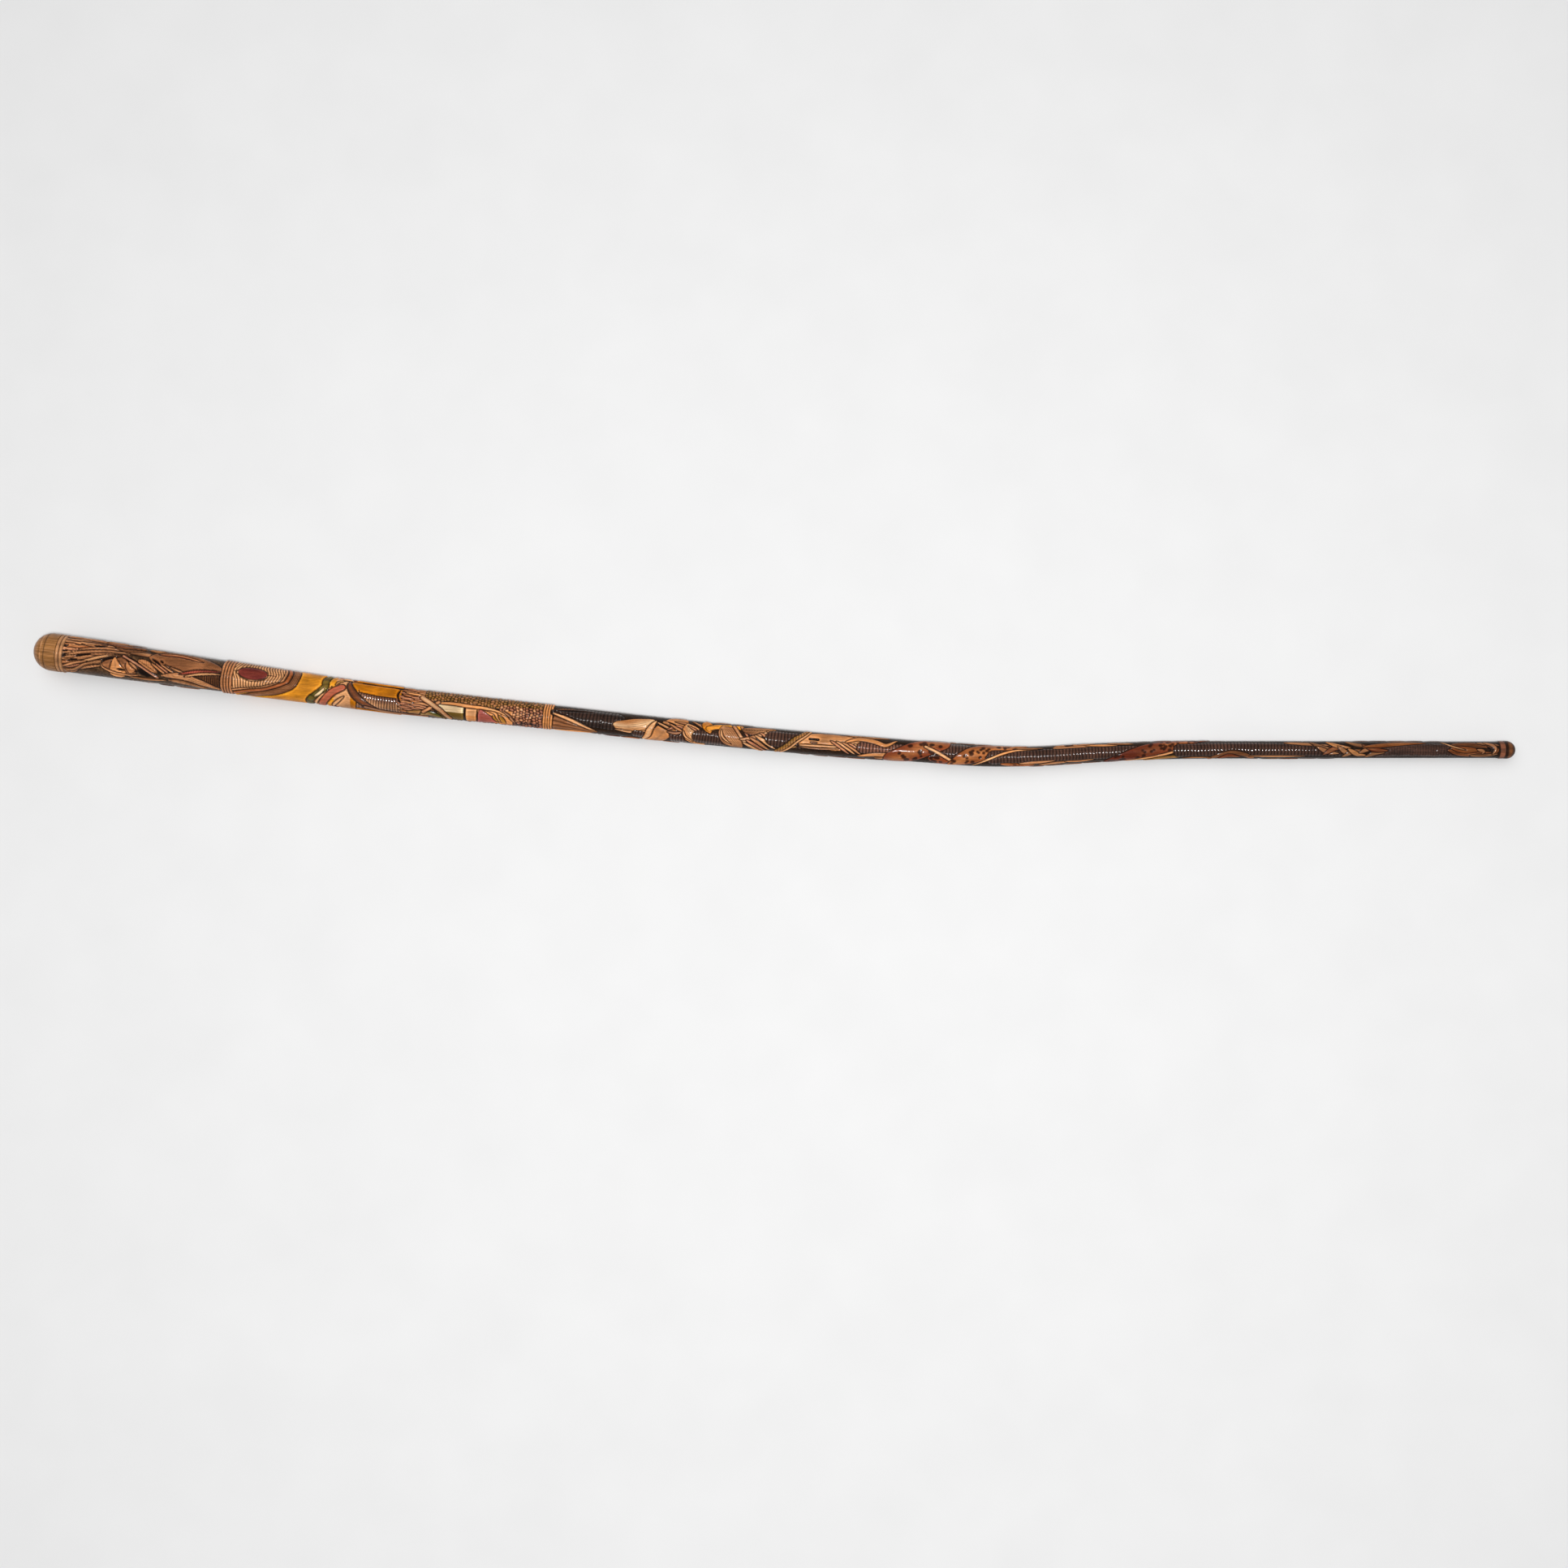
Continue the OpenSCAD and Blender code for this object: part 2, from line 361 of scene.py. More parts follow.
def carve(look, width, *path, **changes):
    # one carved form, laid over what is already there, with a burnt cut round it
    style = {**plain, **looks[look], **changes}
    cells, travel, side, past, length = follow(path, width / 2 + knife["reach"])
    t = travel / length
    half = np.maximum(width / 2 * outlineWidth(style["shape"], t), 1e-3)
    inside = half - np.abs(side) + knife["wander"] * wobble[cells]
    if style["square"]:
        inside = np.where((past > 0) & ((t <= 0) | (t >= 1)), -past, inside)
    inner = inside > 0
    u = np.clip(np.abs(side) / half, 0, 1)
    shape = style["level"] + style["crown"] * (1 - u ** 2)
    # painted highlight: the form pales towards its highlight tone where it stands highest, with random
    # patches
    crest = style["top"] * (1 - u) ** 1.5 + knife["patchy"] * mottle[cells]
    tint = mixed(stain[style["tone"]], stain[style["topTone"]], crest)
    if style["startTone"]:
        # stained another colour at its start, gone by the middle
        gone = (t + knife["tintWander"] * wobble[cells] - knife["tintFrom"]) / knife["tintOver"]
        tint = mixed(stain[style["startTone"]], tint, gone)
    dark = np.zeros_like(u)
    if style["ribPitch"]:
        run = travel + np.where(t <= 0, -past, 0) + np.where(t >= 1, past, 0)
        wave = run + style["slant"] * side + style["chevron"] * np.abs(side)
        ridge = np.abs(np.sin(np.pi * (wave / style["ribPitch"] + knife["ribWander"] * wobble[cells])))
        shape += style["ribDepth"] * (ridge ** 0.8 - 1)
        dark += style["ribInk"] * (1 - ridge) ** 1.3
    if style["lines"]:
        wave = np.pi * style["lines"] * (side / half + 1) / 2
        ridge = np.abs(np.sin(wave + knife["lineWander"] * wobble[cells]))
        shape += style["lineDepth"] * (ridge ** 0.6 - 1)
        dark += style["lineInk"] * (1 - ridge) ** 1.5
    if style["midrib"]:
        rib = np.exp(-(side / knife["midribWidth"]) ** 2)
        shape -= style["midrib"] * rib
        dark += knife["midribInk"] * rib
    for _ in range(style["spots"]):
        place, across, size = chance.uniform(0.05, 0.95), chance.uniform(-0.8, 0.8), chance.uniform(0.7, 1.3)
        size *= style["spotSize"]
        away = np.hypot((travel - place * length) / knife["spotStretch"], side - across * half)
        spot = 1 / (1 + np.exp((away + knife["spotWander"] * wobble[cells] - size) / knife["spotEdge"]))
        shape -= knife["spotDrop"] * spot
        dark = np.maximum(dark, knife["spotInk"] * spot)
    shape += style["rough"] * speckle[cells]
    tint = mixed(tint, stain["spot" if style["spots"] else "burnt"], dark)
    edge = np.clip(inside / knife["edge"], 0, 1)
    tint = mixed(tint, stain["burnt"], knife["edgeInk"] * (1 - edge))
    shape -= knife["edgeDrop"] * (1 - edge)
    near = (~inner) & (inside > -style["groove"])
    fade = np.clip(1 + inside / style["groove"], 0, 1)
    sunk = np.minimum(height[cells], -1 - knife["undercut"] * fade)
    burnt = mixed(colour[cells], stain["burnt"], np.where(near, style["ink"] * fade, 0))
    height[cells] = np.where(inner, shape, np.where(near, sunk, height[cells]))
    colour[cells] = np.where(inner[..., None], tint, burnt)
    shine[cells] = np.where(inner, style["shine"] * (1 - dark), np.where(near, 0, shine[cells]))


def zone(first, last, firstTurn=-180, lastTurn=180):
    # a mask of the sheet between two places along and two turns round
    rows = (alongs >= first) & (alongs <= last)
    columns = (turns >= firstTurn) & (turns <= lastTurn)
    return rows[:, None] & columns[None, :]


def plainField(where, tone, level=-0.15):
    # smooth, scraped wood with long streaks
    height[where] = level + 0.06 * mottle[where]
    grain = 1 + 0.1 * wobble[where] + 0.25 * mottle[where]
    colour[where] = stain[tone] * grain[:, None]

rounding = {"wander": 0.35, "drop": 0.55, "ink": 0.6, "lip": 1.35, "lipLevel": -0.9, "lipTone": 1.4}


def bead(place, width, tone="orange"):
    # a half-round ring all the way round, with a burnt cut on each side
    away = np.abs(alongs[:, None] - place - rounding["wander"] * wobble) / (width / 2)
    on = away < 1
    height[on] = (-rounding["drop"] * away ** 2)[on]
    colour[on] = mixed(stain[tone], stain["burnt"], rounding["ink"] * away ** 4)[on]
    lip = (away >= 1) & (away < rounding["lip"])
    height[lip] = rounding["lipLevel"]
    colour[lip] = stain["burnt"] * rounding["lipTone"]


def scales(where, size, tone, glintTone, ink=0.8):
    # rows of small chipped scales of uneven size, each row about half a scale on
    row = alongs[:, None] / size + 0.9 * wobble
    across = aroundMm / size + 0.5 * (np.floor(row) % 2) + 0.8 * mottle
    lot = np.abs(np.sin(np.floor(row) * 12.99 + np.floor(across) * 78.23) * 437.5) % 1
    away = np.hypot(row % 1 - 0.5, across % 1 - 0.5) / (0.46 + 0.2 * lot)
    hill = np.clip(1 - away ** 2, 0, 1)
    height[where] = (-0.85 + (0.45 + 0.4 * lot) * hill)[where]
    # painted glints: each scale pales towards the glint tone on its top, more on some scales than others
    tint = mixed(stain[tone], stain[glintTone], hill * (0.05 + 1.1 * lot ** 1.5))
    tint = mixed(tint, stain["burnt"], ink * np.clip(away - 0.5, 0, 1) * 2 + 0.3 * speckle)
    colour[where] = tint[where]


def hatched(where, pitch, slant=0.0):
    # close parallel knife cuts in the low ground
    ridge = np.abs(np.sin(np.pi * ((alongs[:, None] + slant * aroundMm) / pitch + 0.4 * wobble)))
    height[where] = (-1.1 + 0.35 * ridge + 0.1 * speckle)[where]
    colour[where] = mixed(stain["burnt"] * 1.6, stain["brown"], 0.75 * ridge ** 2 + 0.2 * speckle)[where]


# what is carved where: the look, its width in mm, its path as (mm along, degrees round), and any changes
def carveStrands():
    # locks of strands that sweep up from the collar, over stippled ground
    height[zone(20, 70, 18, 110)] += 0.25
    # turn at the collar, how far along it reaches, turn at its tip and width
    locks = [(66, 42, 22, 3.0), (56, 50, 2, 3.2), (47, 40, -6, 3.0), (38, 56, -22, 3.4), (27, 46, -18, 2.8),
             (16, 60, -30, 3.6), (5, 44, -28, 3.0), (-6, 62, -36, 3.8), (-18, 50, -36, 3.2),
             (-30, 64, -46, 4.2), (-44, 58, -52, 3.8), (-58, 66, -62, 4.2), (-74, 58, -76, 4.4)]
    for count, (turn, reach, last, width) in enumerate(locks):
        bow = 6 * math.sin(2.4 * count)
        middle = ((shaftStart + reach) / 2, (turn + last) / 2 - 3 - bow)
        carve("strand", width, (shaftStart - 6, turn + 4), (shaftStart + 5, turn - 3 + bow / 2), middle,
            (reach + 3, last), tone=("tan", "brown", "tan", "rose", "redBrown")[count % 5],
            level=-0.45 - 0.14 * (count % 3), lines=3, lineDepth=0.45, lineInk=0.75, rough=0.25, groove=0.4)
    carve("hollow", 2.2, (18, -22), (23.5, -31))
    carve("hollow", 1.8, (19, 12), (25, -2))
    carve("hollow", 1.3, (18, -6), (24, -12))
    carve("hollow", 1.6, (29, 4), (33, -5), (37.5, -12))
    carve("hollow", 2.0, (38, -43), (46, -50))
    carve("hollow", 1.4, (40, -29), (47, -34))
    carve("hollow", 1.2, (27, -36), (33, -42))
    carve("hollow", 1.1, (24, 22), (30, 12))
    carve("hollow", 1.0, (33, 22), (38, 12))
    carve("hollow", 1.3, (47, -38), (57, -37))
    carve("strand", 1.7, (24, 36), (34, 16), (44, -6), (55, -23), tone="paleTan", lines=2)
    carve("strand", 1.6, (20, 46), (28, 26), (36, 14))
    carve("strand", 1.8, (22, 4), (34, -14), (48, -28), (64, -30), lines=2)
    carve("strand", 1.5, (30, -20), (44, -36), (60, -40))
    carve("feather", 4.2, (50, -50), (62, -42), (78, -40), tone="brown", topTone="tan")
    carve("feather", 4.0, (44, -66), (56, -58), (70, -60), tone="brown", topTone="rust")


def carvePod():
    # a cupped seed pod with two lobes, a rod across it and small leaves beside it
    carve("strand", 3.0, (60, -34), (72, -36), (86, -30), tone="brown", lines=3)
    carve("pod", 12.5, (45, 20), (56, 12), (66, 26),
        tone="brown", topTone="tan", groove=1.2, lines=3, lineInk=0.4)
    carve("hollow", 1.7, (44, 14), (48, -4), (56, -16))
    carve("smoothLeaf", 10.5, (54, 38), (53, 14), (52, -12),
        shape="taper", tone="orange", level=-0.5, crown=0.5, groove=0.3)
    carve("pod", 5.6, (60, 0), (62, 18), (62, 36), topTone="orange", top=0.4, groove=0.3)
    carve("hollow", 1.6, (54, 27), (59, 31))
    carve("hollow", 1.0, (65, 22), (65.5, 34))
    carve("strand", 1.6, (44, 14), (46, 30), (53, 43), (62, 45), (68, 40))
    carve("leaf", 2.4, (60, -10), (63, 4), (66, 20), midrib=0)
    carve("leaf", 6.0, (66, -12), (72, 4), (78, 22), topTone="orange", midrib=0.3)
    carve("hollow", 4.4, (66, 22), (70, 30), (75.5, 38))
    carve("hollow", 1.2, (57, -22), (64, -8), (71, 14))
    carve("hollow", 2.2, (59, -10), (63, -4))
    carve("strap", 1.5, (57, -19), (68, 8), (78, 41), tone="rose", crown=0.5)
    carve("strand", 2.0, (60, 52), (72, 54), (84, 48), tone="brown")


def carveWing():
    # a broad leaf that tapers to the beads, with a stitched edge
    hatched(zone(98, 116.5, -8, 62), 1.25)
    height[zone(96, 116.5, -90, -30)] -= 0.1
    carve("smoothLeaf", 4.0, (70, -62), (86, -58), (102, -66), tone="brown")
    carve("leaf", 14.5, (72, -28), (88, -32), (102, -28), (117, -20),
        tone="brown", topTone="tan", top=0.3, ribPitch=1.3, ribDepth=0.12, ribInk=0.3, midrib=0)
    carve("strand", 2.0, (77, -46), (90, -52), (104, -40), tone="rust")
    carve("strand", 1.5, (74, -8), (80, 12), (86, 36), topTone="orange")
    carve("strand", 1.2, (76.5, -10), (82.5, 10), (89, 34), tone="rose")
    carve("strand", 1.3, (79, -10), (85.5, 8), (92.5, 30))
    carve("strand", 1.2, (82, -9), (88, 6), (96, 26), tone="roseRib")
    carve("hollow", 1.3, (74, -24), (78, -12), (80, -2))
    carve("hollow", 1.0, (79, -22), (81, -14))
    carve("strand", 1.4, (85, -4), (92, 8), (100, 22), tone="brown")
    carve("feather", 5.0, (80, 30), (92, 24), (104, 40), (117, 62))
    carve("feather", 3.4, (84, 44), (96, 50), (108, 66), tone="brown")
    carve("rope", 2.0, (91, 16), (99, 2), (107, -7), (116, -12),
        shape="leaf", tone="maroon", topTone="red", ribPitch=1.5)
    carve("strand", 1.2, (94, 22), (102, 8), (110, 0), (117, -4), tone="paleTan")


hoops = {"pitch": 1.62, "ovalAlong": 134.2, "ovalTurn": -27, "ovalLength": 17.4, "ovalWidth": 8.8,
         "bendMm": 2.4, "bendAlong": 9, "bendTurn": 24,
         "beads": (116.7, 118.4, 120.1, 121.8), "beadWidth": 1.7}
# where the sash crosses: turns round the stick and places along it
sashTurns = [-180, -140, -100, -60, -15, 6, 28, 46, 62, 80, 110, 150, 180]
sashPlaces = [126, 138, 154, 159, 158, 153, 145, 134, 126, 123.5, 123.5, 123.5, 126]
sash = np.interp(turns, sashTurns, sashPlaces)[None, :]


def carveHoops():
    # fine hoops round a painted oval, ended by a slanting sash
    here = zone(116, 160) & (alongs[:, None] < sash + 0.5)
    bend = np.exp(-((turns[None, :] - hoops["ovalTurn"]) / hoops["bendTurn"]) ** 2)
    away = (alongs[:, None] - hoops["ovalAlong"]) / hoops["bendAlong"]
    push = hoops["bendMm"] * np.clip(away, -1, 1) * bend
    wave = np.abs(np.sin(np.pi * ((alongs[:, None] - push) / hoops["pitch"] + 0.16 * wobble)))
    height[here] = (-0.85 + 0.7 * wave ** 0.7)[here]
    colour[here] = mixed(stain["brown"] * 0.4, stain["paleTan"], wave ** 1.1 + 0.15 * mottle)[here]
    a, t, half = hoops["ovalAlong"], hoops["ovalTurn"], hoops["ovalLength"] / 2
    carve("strand", 2.6, (a - half + 0.5, t + 2), (a - 5, t + 16), (a, t + 23), (a + 5, t + 17),
        (a + half - 1, t + 6), tone="paleTan", shape="even", level=-0.35)
    carve("pod", hoops["ovalWidth"], (a - half, t), (a + half, t),
        tone="maroon", topTone="red", top=0.15, level=-0.6, crown=0.25)
    carve("strand", 1.3, (124, -178), (136, -140), (149, -105), (153.5, -60), (152.5, -12), (147.5, 6),
        (138.5, 27), (126.5, 43), (119, 60), shape="even")
    carve("strap", 2.5, (126, -178), (138, -140), (151.5, -105), (156, -60), (155, -12), (150, 9),
        (141.5, 32), (130, 50), (122, 72), tone="redBrown", topTone="rose", top=0.3, lines=1, lineDepth=0.3)
    carve("strap", 4.2, (130, -178), (142, -140), (155.5, -105), (160, -60), (159, -8), (154, 18), (146, 42),
        (137, 62), (128, 88), tone="brown", topTone="tan", top=0.6, lines=4, lineDepth=0.35, lineInk=0.7)
    for place in hoops["beads"]:
        bead(place, hoops["beadWidth"], "tan")


def carveBands():
    # smooth amber wood crossed by painted bands
    plainField(zone(123.5, 224) & (alongs[:, None] > sash + 0.4), "amber")
    plainField(zone(184, 194), "paleTan")
    plainField(zone(194, 224), "honey")
    carve("strap", 4.0, (170, 88), (169, 64), (170, 44), (175, 12), (178, -14), (178, -44), (180, -88),
        tone="green", topTone="olive", top=0.4, ribPitch=5.2, ribDepth=0.25, ribInk=0.5)
    carve("strand", 1.7, (172.5, 30), (176, 8), (178, -12), tone="cream", groove=0.2)
    carve("strand", 1.5, (173, 88), (173, 62), (175, 38), (179, 8), (182, -20), tone="paleTan")
    carve("strap", 4.2, (177, 88), (177, 60), (179.5, 30), (183, 2), (188, -22),
        tone="red", topTone="rose", top=0.5, groove=0.8)
    carve("strand", 2.2, (183, 84), (184, 60), (187, 34), (190, 14), tone="paleTan", top=0.8)
    carve("strand", 1.6, (184, -30), (186, -48), (190, -66), tone="olive")
    # the same bands go on round the back
    for place, tone in ((168, "green"), (175, "red"), (183, "maroon")):
        carve("strap", 3.4, (place + 2, 88), (place - 4, 130), (place + 3, 180), (place + 9, 225),
            (place + 11, 272), tone=tone, topTone="olive", ribPitch=5.2 if tone == "green" else 0)


def carveRibbedHorn():
    # an amber window over a ribbed body, with a dark horn at one end
    hatched(zone(224, 240), 1.6, 1.2)
    carve("hollow", 2.2, (188, -66), (206, -64), (224, -62), shape="even")
    carve("snake", 11.5, (198, 26), (207, 32), (220, 33), (236, 28),
        tone="roseRib", square=True, topTone="paleTan", top=0.75, ribPitch=1.65, level=-0.4, crown=0.4,
        ribInk=0.85, ribDepth=0.6)
    carve("strap", 4.6, (192, -62), (192.5, -34), (195, -8), (199, 18), (205, 44), (213, 64),
        tone="darkRib", topTone="redBrown", top=0.6, crown=0.6, shape="leaf")
    carve("smoothLeaf", 2.6, (203, 52), (214, 66), (226, 70), (240, 66), tone="roseRib", shape="even")


def carveFur():
    # short strokes between the ribbed body and the straps
    for row in range(15):
        turn = -66 + 8 * row
        first = 222 + 2.5 * (row % 2) + 0.05 * abs(turn)
        for place in (first, first + 8):
            tone = ("rose", "tan", "redBrown", "rose")[(row + int(place)) % 4]
            carve("strand", 1.7, (place - 1, turn - 3), (place + 5, turn + chance.uniform(-4, 4)),
                (place + 11, turn + 5), tone=tone, level=-0.45, groove=0.3, lines=2, lineInk=0.4)
    carve("hollow", 1.2, (223, -56), (222, -20), (224, 12))
    carve("strand", 1.4, (226, -40), (234, -36), (248, -34), tone="orange")
    carve("smoothLeaf", 3.6, (228, 50), (236, 45), (246, 42), tone="olive")


panels = {"first": 246.5, "bar": 262.9, "second": 270.5, "last": 280.5, "top": -4, "bottom": 74}


def carvePanels():
    # flat painted panels under a wavy rim, with crossing straps
    low, high = panels["top"], panels["bottom"]
    scales(zone(238, 310, -112, -12), 2.0, "olive", "tan", 0.75)
    scales(zone(284, 310, -30, 40), 2.0, "rose", "paleTan", 0.85)
    scales(zone(284, 310, 40, 112), 2.2, "roseRib", "rose", 1.0)
    plainField(zone(panels["first"], panels["bar"], low, 26), "cream", -0.3)
    plainField(zone(panels["first"], panels["bar"], 26, high), "moss", -0.35)
    plainField(zone(panels["bar"], panels["second"], low, high), "paleTan", -0.3)
    plainField(zone(panels["bar"], panels["second"], 36, high), "orange", -0.3)
    plainField(zone(panels["second"], 292, low, high), "orange", -0.3)
    carve("hollow", 1.0, (panels["bar"], low), (panels["bar"], high), shape="even", groove=0.5)
    carve("pod", 12.5, (270.8, 40), (283.5, 58),
        shape="taper", tone="wine", topTone="red", top=0.4, level=-0.55, square=True)
    carve("hollow", 0.8, (panels["second"], 2), (panels["second"], high))
    carve("smoothLeaf", 5.4, (280, 26), (284, 40), (288, 62), tone="olive", topTone="amber")
    carve("strand", 1.6, (274, -2), (281, 10), (283, 34), (285, 62), tone="orange")
    carve("strand", 2.0, (286, 0), (290, 20), (294, 56), tone="roseRib")
    carve("strap", 2.2, (244, -6), (254, -12), (266, -8), (276, -6), (284, 4), (290, 26),
        tone="orange", crown=0.5, shape="leaf")
    carve("pod", 4.2, (236, 56), (241, 46), (249, 62), tone="green", groove=0.9)
    carve("strap", 2.2, (247, -12), (243, 12), (238, 40), topTone="paleTan", top=0.5)
    carve("strap", 3.0, (237, -24), (243, 0), (249, 28), (254, 66), top=0.5)


def carveRingBundle():
    for place in (311.0, 312.5, 314.0, 315.5):
        bead(place, 1.2)


def carveArrowAndSnake():
    # a pointed leaf against a dark ribbed snake
    carve("strand", 2.2, (316.5, -40), (330, -50), (346, -54))
    carve("snake", 12.5, (317, -24), (330, -22), (342, -16), (354, -12),
        shape="grow", tone="blackRib", topTone="darkRib", top=0.4)
    carve("hollow", 1.1, (317, -34), (328, -42), (340, -44))
    carve("feather", 15, (316.6, 28), (326, 34), (344, 58),
        shape="taper", square=True, tone="brown", topTone="tan", lines=5)
    carve("strand", 2.0, (315.5, -20), (328, 8), (343, 52), tone="paleTan", level=-0.2)
    carve("strand", 2.2, (316, 72), (328, 70), (342, 64), tone="orange")


def carveFanLeaf():
    # a fan leaf, folded sheets and a knot
    carve("feather", 9.0, (353, 2), (361, 6), (371, -12), (378, -38),
        tone="orange", topTone="cream", top=0.6, lines=7, shape="egg", lineDepth=0.25, lineInk=0.5)
    carve("strand", 1.5, (354, 26), (364, 34), (374, 20), (380, 2), tone="paleTan")
    carve("snake", 5.0, (367, 42), (376, 48), (384, 40), ribPitch=1.6)
    carve("smoothLeaf", 10.5, (377, 90), (380, 54), (383, 20), (388, -18), (393, -62),
        tone="orange", top=0.7, shape="even", crown=0.3)
    carve("strap", 3.8, (371, 78), (374, 44), (375.5, 8), (379, -40),
        tone="orange", top=0.5, shape="leaf", groove=0.7)
    carve("hollow", 0.9, (378.5, -22), (383, -8), (387.5, 10))
    carve("hollow", 0.9, (381, -34), (386, -20), (391, 0))
    carve("hollow", 0.9, (384.5, -44), (389, -32), (394.5, -12))
    carve("strand", 1.2, (379.5, -30), (384.5, -14), (389.5, 4), tone="paleTan", groove=0.2)
    carve("strand", 1.2, (382.5, -42), (387.5, -27), (393, -8), groove=0.2)
    carve("snake", 8.5, (388, 50), (392, 46), (398, 44), ribPitch=1.7, square=True)
    carve("strand", 1.8, (386, 2), (392, -20), (397, -8), tone="rose")
    carve("strand", 2.2, (386, 12), (391, 16), (396, 4), tone="roseRib")
    carve("strand", 1.7, (387, -30), (392, -8), (398, 12))
    carve("strand", 2.0, (390, -46), (399, -36), (406, -8), tone="brown")


def carveShells():
    # two grooved shell lobes, a bright tongue between them and dark ribs below
    carve("strand", 1.4, (402, -60), (409, -30), (411, 0), tone="roseRib")
    carve("strand", 1.4, (400, -64), (405, -40), (410, -14), tone="brown")
    carve("shell", 11.5, (397.5, -38), (400, 0), (403.5, 32), (409, 74), tone="orange", topTone="cream")
    carve("strand", 1.2, (395.5, -2), (397, 26), (402, 56), tone="paleTan")
    carve("strand", 1.4, (398, -30), (406, 4), (413, 56), tone="rose")
    carve("snake", 9.5, (406, 24), (413, 28), (421, 30), ribPitch=1.7)
    carve("smoothLeaf", 6.6, (409, -78), (410, -40), (412, -2), tone="honey", topTone="orange", lines=0)
    carve("strap", 3.6, (411, -26), (415, -40), (421, -48), (430, -52),
        tone="amber", topTone="orange", groove=0.3)
    carve("shell", 12.0, (419, -50), (422, -14), (426, 24), (432, 62))
    carve("strand", 1.2, (418.5, -30), (419.5, 8), (425, 44), tone="paleTan")
    carve("strap", 2.0, (426, -56), (429, -18), (433, 24))
    carve("strand", 1.4, (430, -58), (433, -26), (436, 12), tone="rose")


def carveFeathers():
    # a brown wing over slanting feathers
    carve("leaf", 7.0, (431, -38), (440, -40), (452, -60), tone="brown")
    carve("strap", 2.4, (430, 14), (437, 2), (443, -20), (449, -46), shape="leaf")
    starts = [(446, -46), (442, -30), (439, -14), (436, 0), (434, 14), (432, 28)]
    for count, (place, turn) in enumerate(starts):
        tone = ("tan", "rose", "paleTan")[count % 3]
        carve("strand", 2.3, (place, turn), (place + 6, turn + 26), (place + 13, turn + 66),
            tone=tone, lines=2)
    carve("snake", 11, (451, -8), (459, -6), (469, -8), ribPitch=2.05)
    carve("strand", 2.4, (454, 40), (459, 34), (465, 24), tone="olive")


def carveRopeAndBody():
    # a roped band, a smooth body with a slot in it, and a wavy leaf
    carve("smoothLeaf", 3.4, (484, -52), (500, -58), (522, -66), tone="brown")
    carve("smoothLeaf", 12.5, (464, -6), (476, -16), (492, -18), (509, -26),
        tone="orange", top=0.7, lineDepth=0.08, lineInk=0.3)
    carve("strand", 2.2, (466, 14), (480, 14), (492, 6), tone="paleTan")
    carve("strand", 1.4, (466, 22), (476, 26), (490, 20), tone="brown")
    carve("rope", 3.8, (471, -70), (468, -36), (463, -4), (459, 28), (453, 70), tone="olive", topTone="tan")
    carve("strand", 1.1, (473, -68), (470, -34), (465, 0), (461, 32), (455, 74), tone="paleTan", shape="even")
    carve("hollow", 1.6, (472.6, -21), (477.4, -21), shape="even", level=-1.8)
    # painted shadow: a dusky strand just under the slot
    carve("strand", 1.0, (473, -4), (477, -4), tone="roseRib")
    for count in range(6):
        tone = ("rose", "paleTan", "tan")[count % 3]
        place = 485 + 3.6 * count
        carve("strand", 1.9, (place, -20 + 2 * count), (place + 6, 8), (place + 12, 44), tone=tone)
    carve("snake", 7.6, (505, 2), (515, 4), (526, 2), (536, -6),
        tone="roseRib", topTone="rose", top=0.5, ribPitch=2.0)
    carve("strap", 3.2, (494, -18), (503, -44), (512, -34), (519, -18), (526, -54),
        shape="leaf", tone="orange", topTone="paleTan")
    carve("strand", 3.0, (502, 54), (512, 38), (521, 34), (531, 22), tone="orange")
    carve("strand", 2.4, (512, 60), (524, 56), (534, 50), tone="brown")


def carveHides():
    # spotted skins wrapped over the ribbed snake
    carve("snake", 12.5, (548, -20), (556, -16), (567, -12), ribPitch=1.9)
    carve("hide", 7.0, (545, 30), (553, 48), (560, 62), tone="rust", topTone="redBrown", spots=9)
    carve("hide", 12.5, (524, 60), (533, 18), (542, -24), (552, -66),
        shape="even", tone="rust", topTone="orange", top=0.5, spots=17, spotSize=1.2)
    carve("strap", 1.9, (543, -28), (552, 6), (562, 54), tone="paleTan")
    carve("hide", 11.5, (557, 74), (566, 26), (576, -14), (589, -48), (606, -72),
        tone="redBrown", topTone="orange", top=0.5, spots=34, spotSize=0.95)
    carve("snake", 9.0, (585, 10), (600, 2), (616, -2), (634, 4), (650, 2), (671, 6), ribPitch=2.0)
    carve("strap", 1.5, (571, 70), (580, 26), (590, -14), (600, -38), (614, -42), tone="orange", shape="leaf")
    carve("hide", 3.6, (589, 46), (598, 58), (610, 60), tone="redBrown", topTone="tan", spots=5, spotSize=0.7)
    carve("smoothLeaf", 2.2, (600, 44), (611, 40), (622, 34))
    carve("smoothLeaf", 2.2, (612, 62), (624, 52), (634, 48), tone="brown")
    carve("strand", 1.6, (628, 46), (637, 50), (646, 42))
    carve("strand", 1.8, (598, -54), (607, -50), (616, -50), tone="brown")
    carve("smoothLeaf", 2.8, (621, -46), (632, -52), (643, -44))
    carve("smoothLeaf", 2.2, (640, -56), (650, -50), (661, -44), tone="orange")
    carve("strand", 1.8, (654, -62), (662, -56), (671, -52), tone="brown")
    carve("hide", 2.4, (622, -60), (634, -66), (648, -64), tone="tan", spots=3)
    carve("hide", 9.5, (652, 70), (668, 34), (684, -14), (698, -50), (716, -88),
        tone="rust", topTone="orange", top=0.4, spots=50, spotSize=0.85, startTone="oxblood")
    carve("strap", 1.6, (664, 78), (682, 44), (696, 6), (710, -44), tone="orange", shape="leaf")
    carve("strand", 2.6, (676, 76), (692, 50), (706, 40), tone="olive")


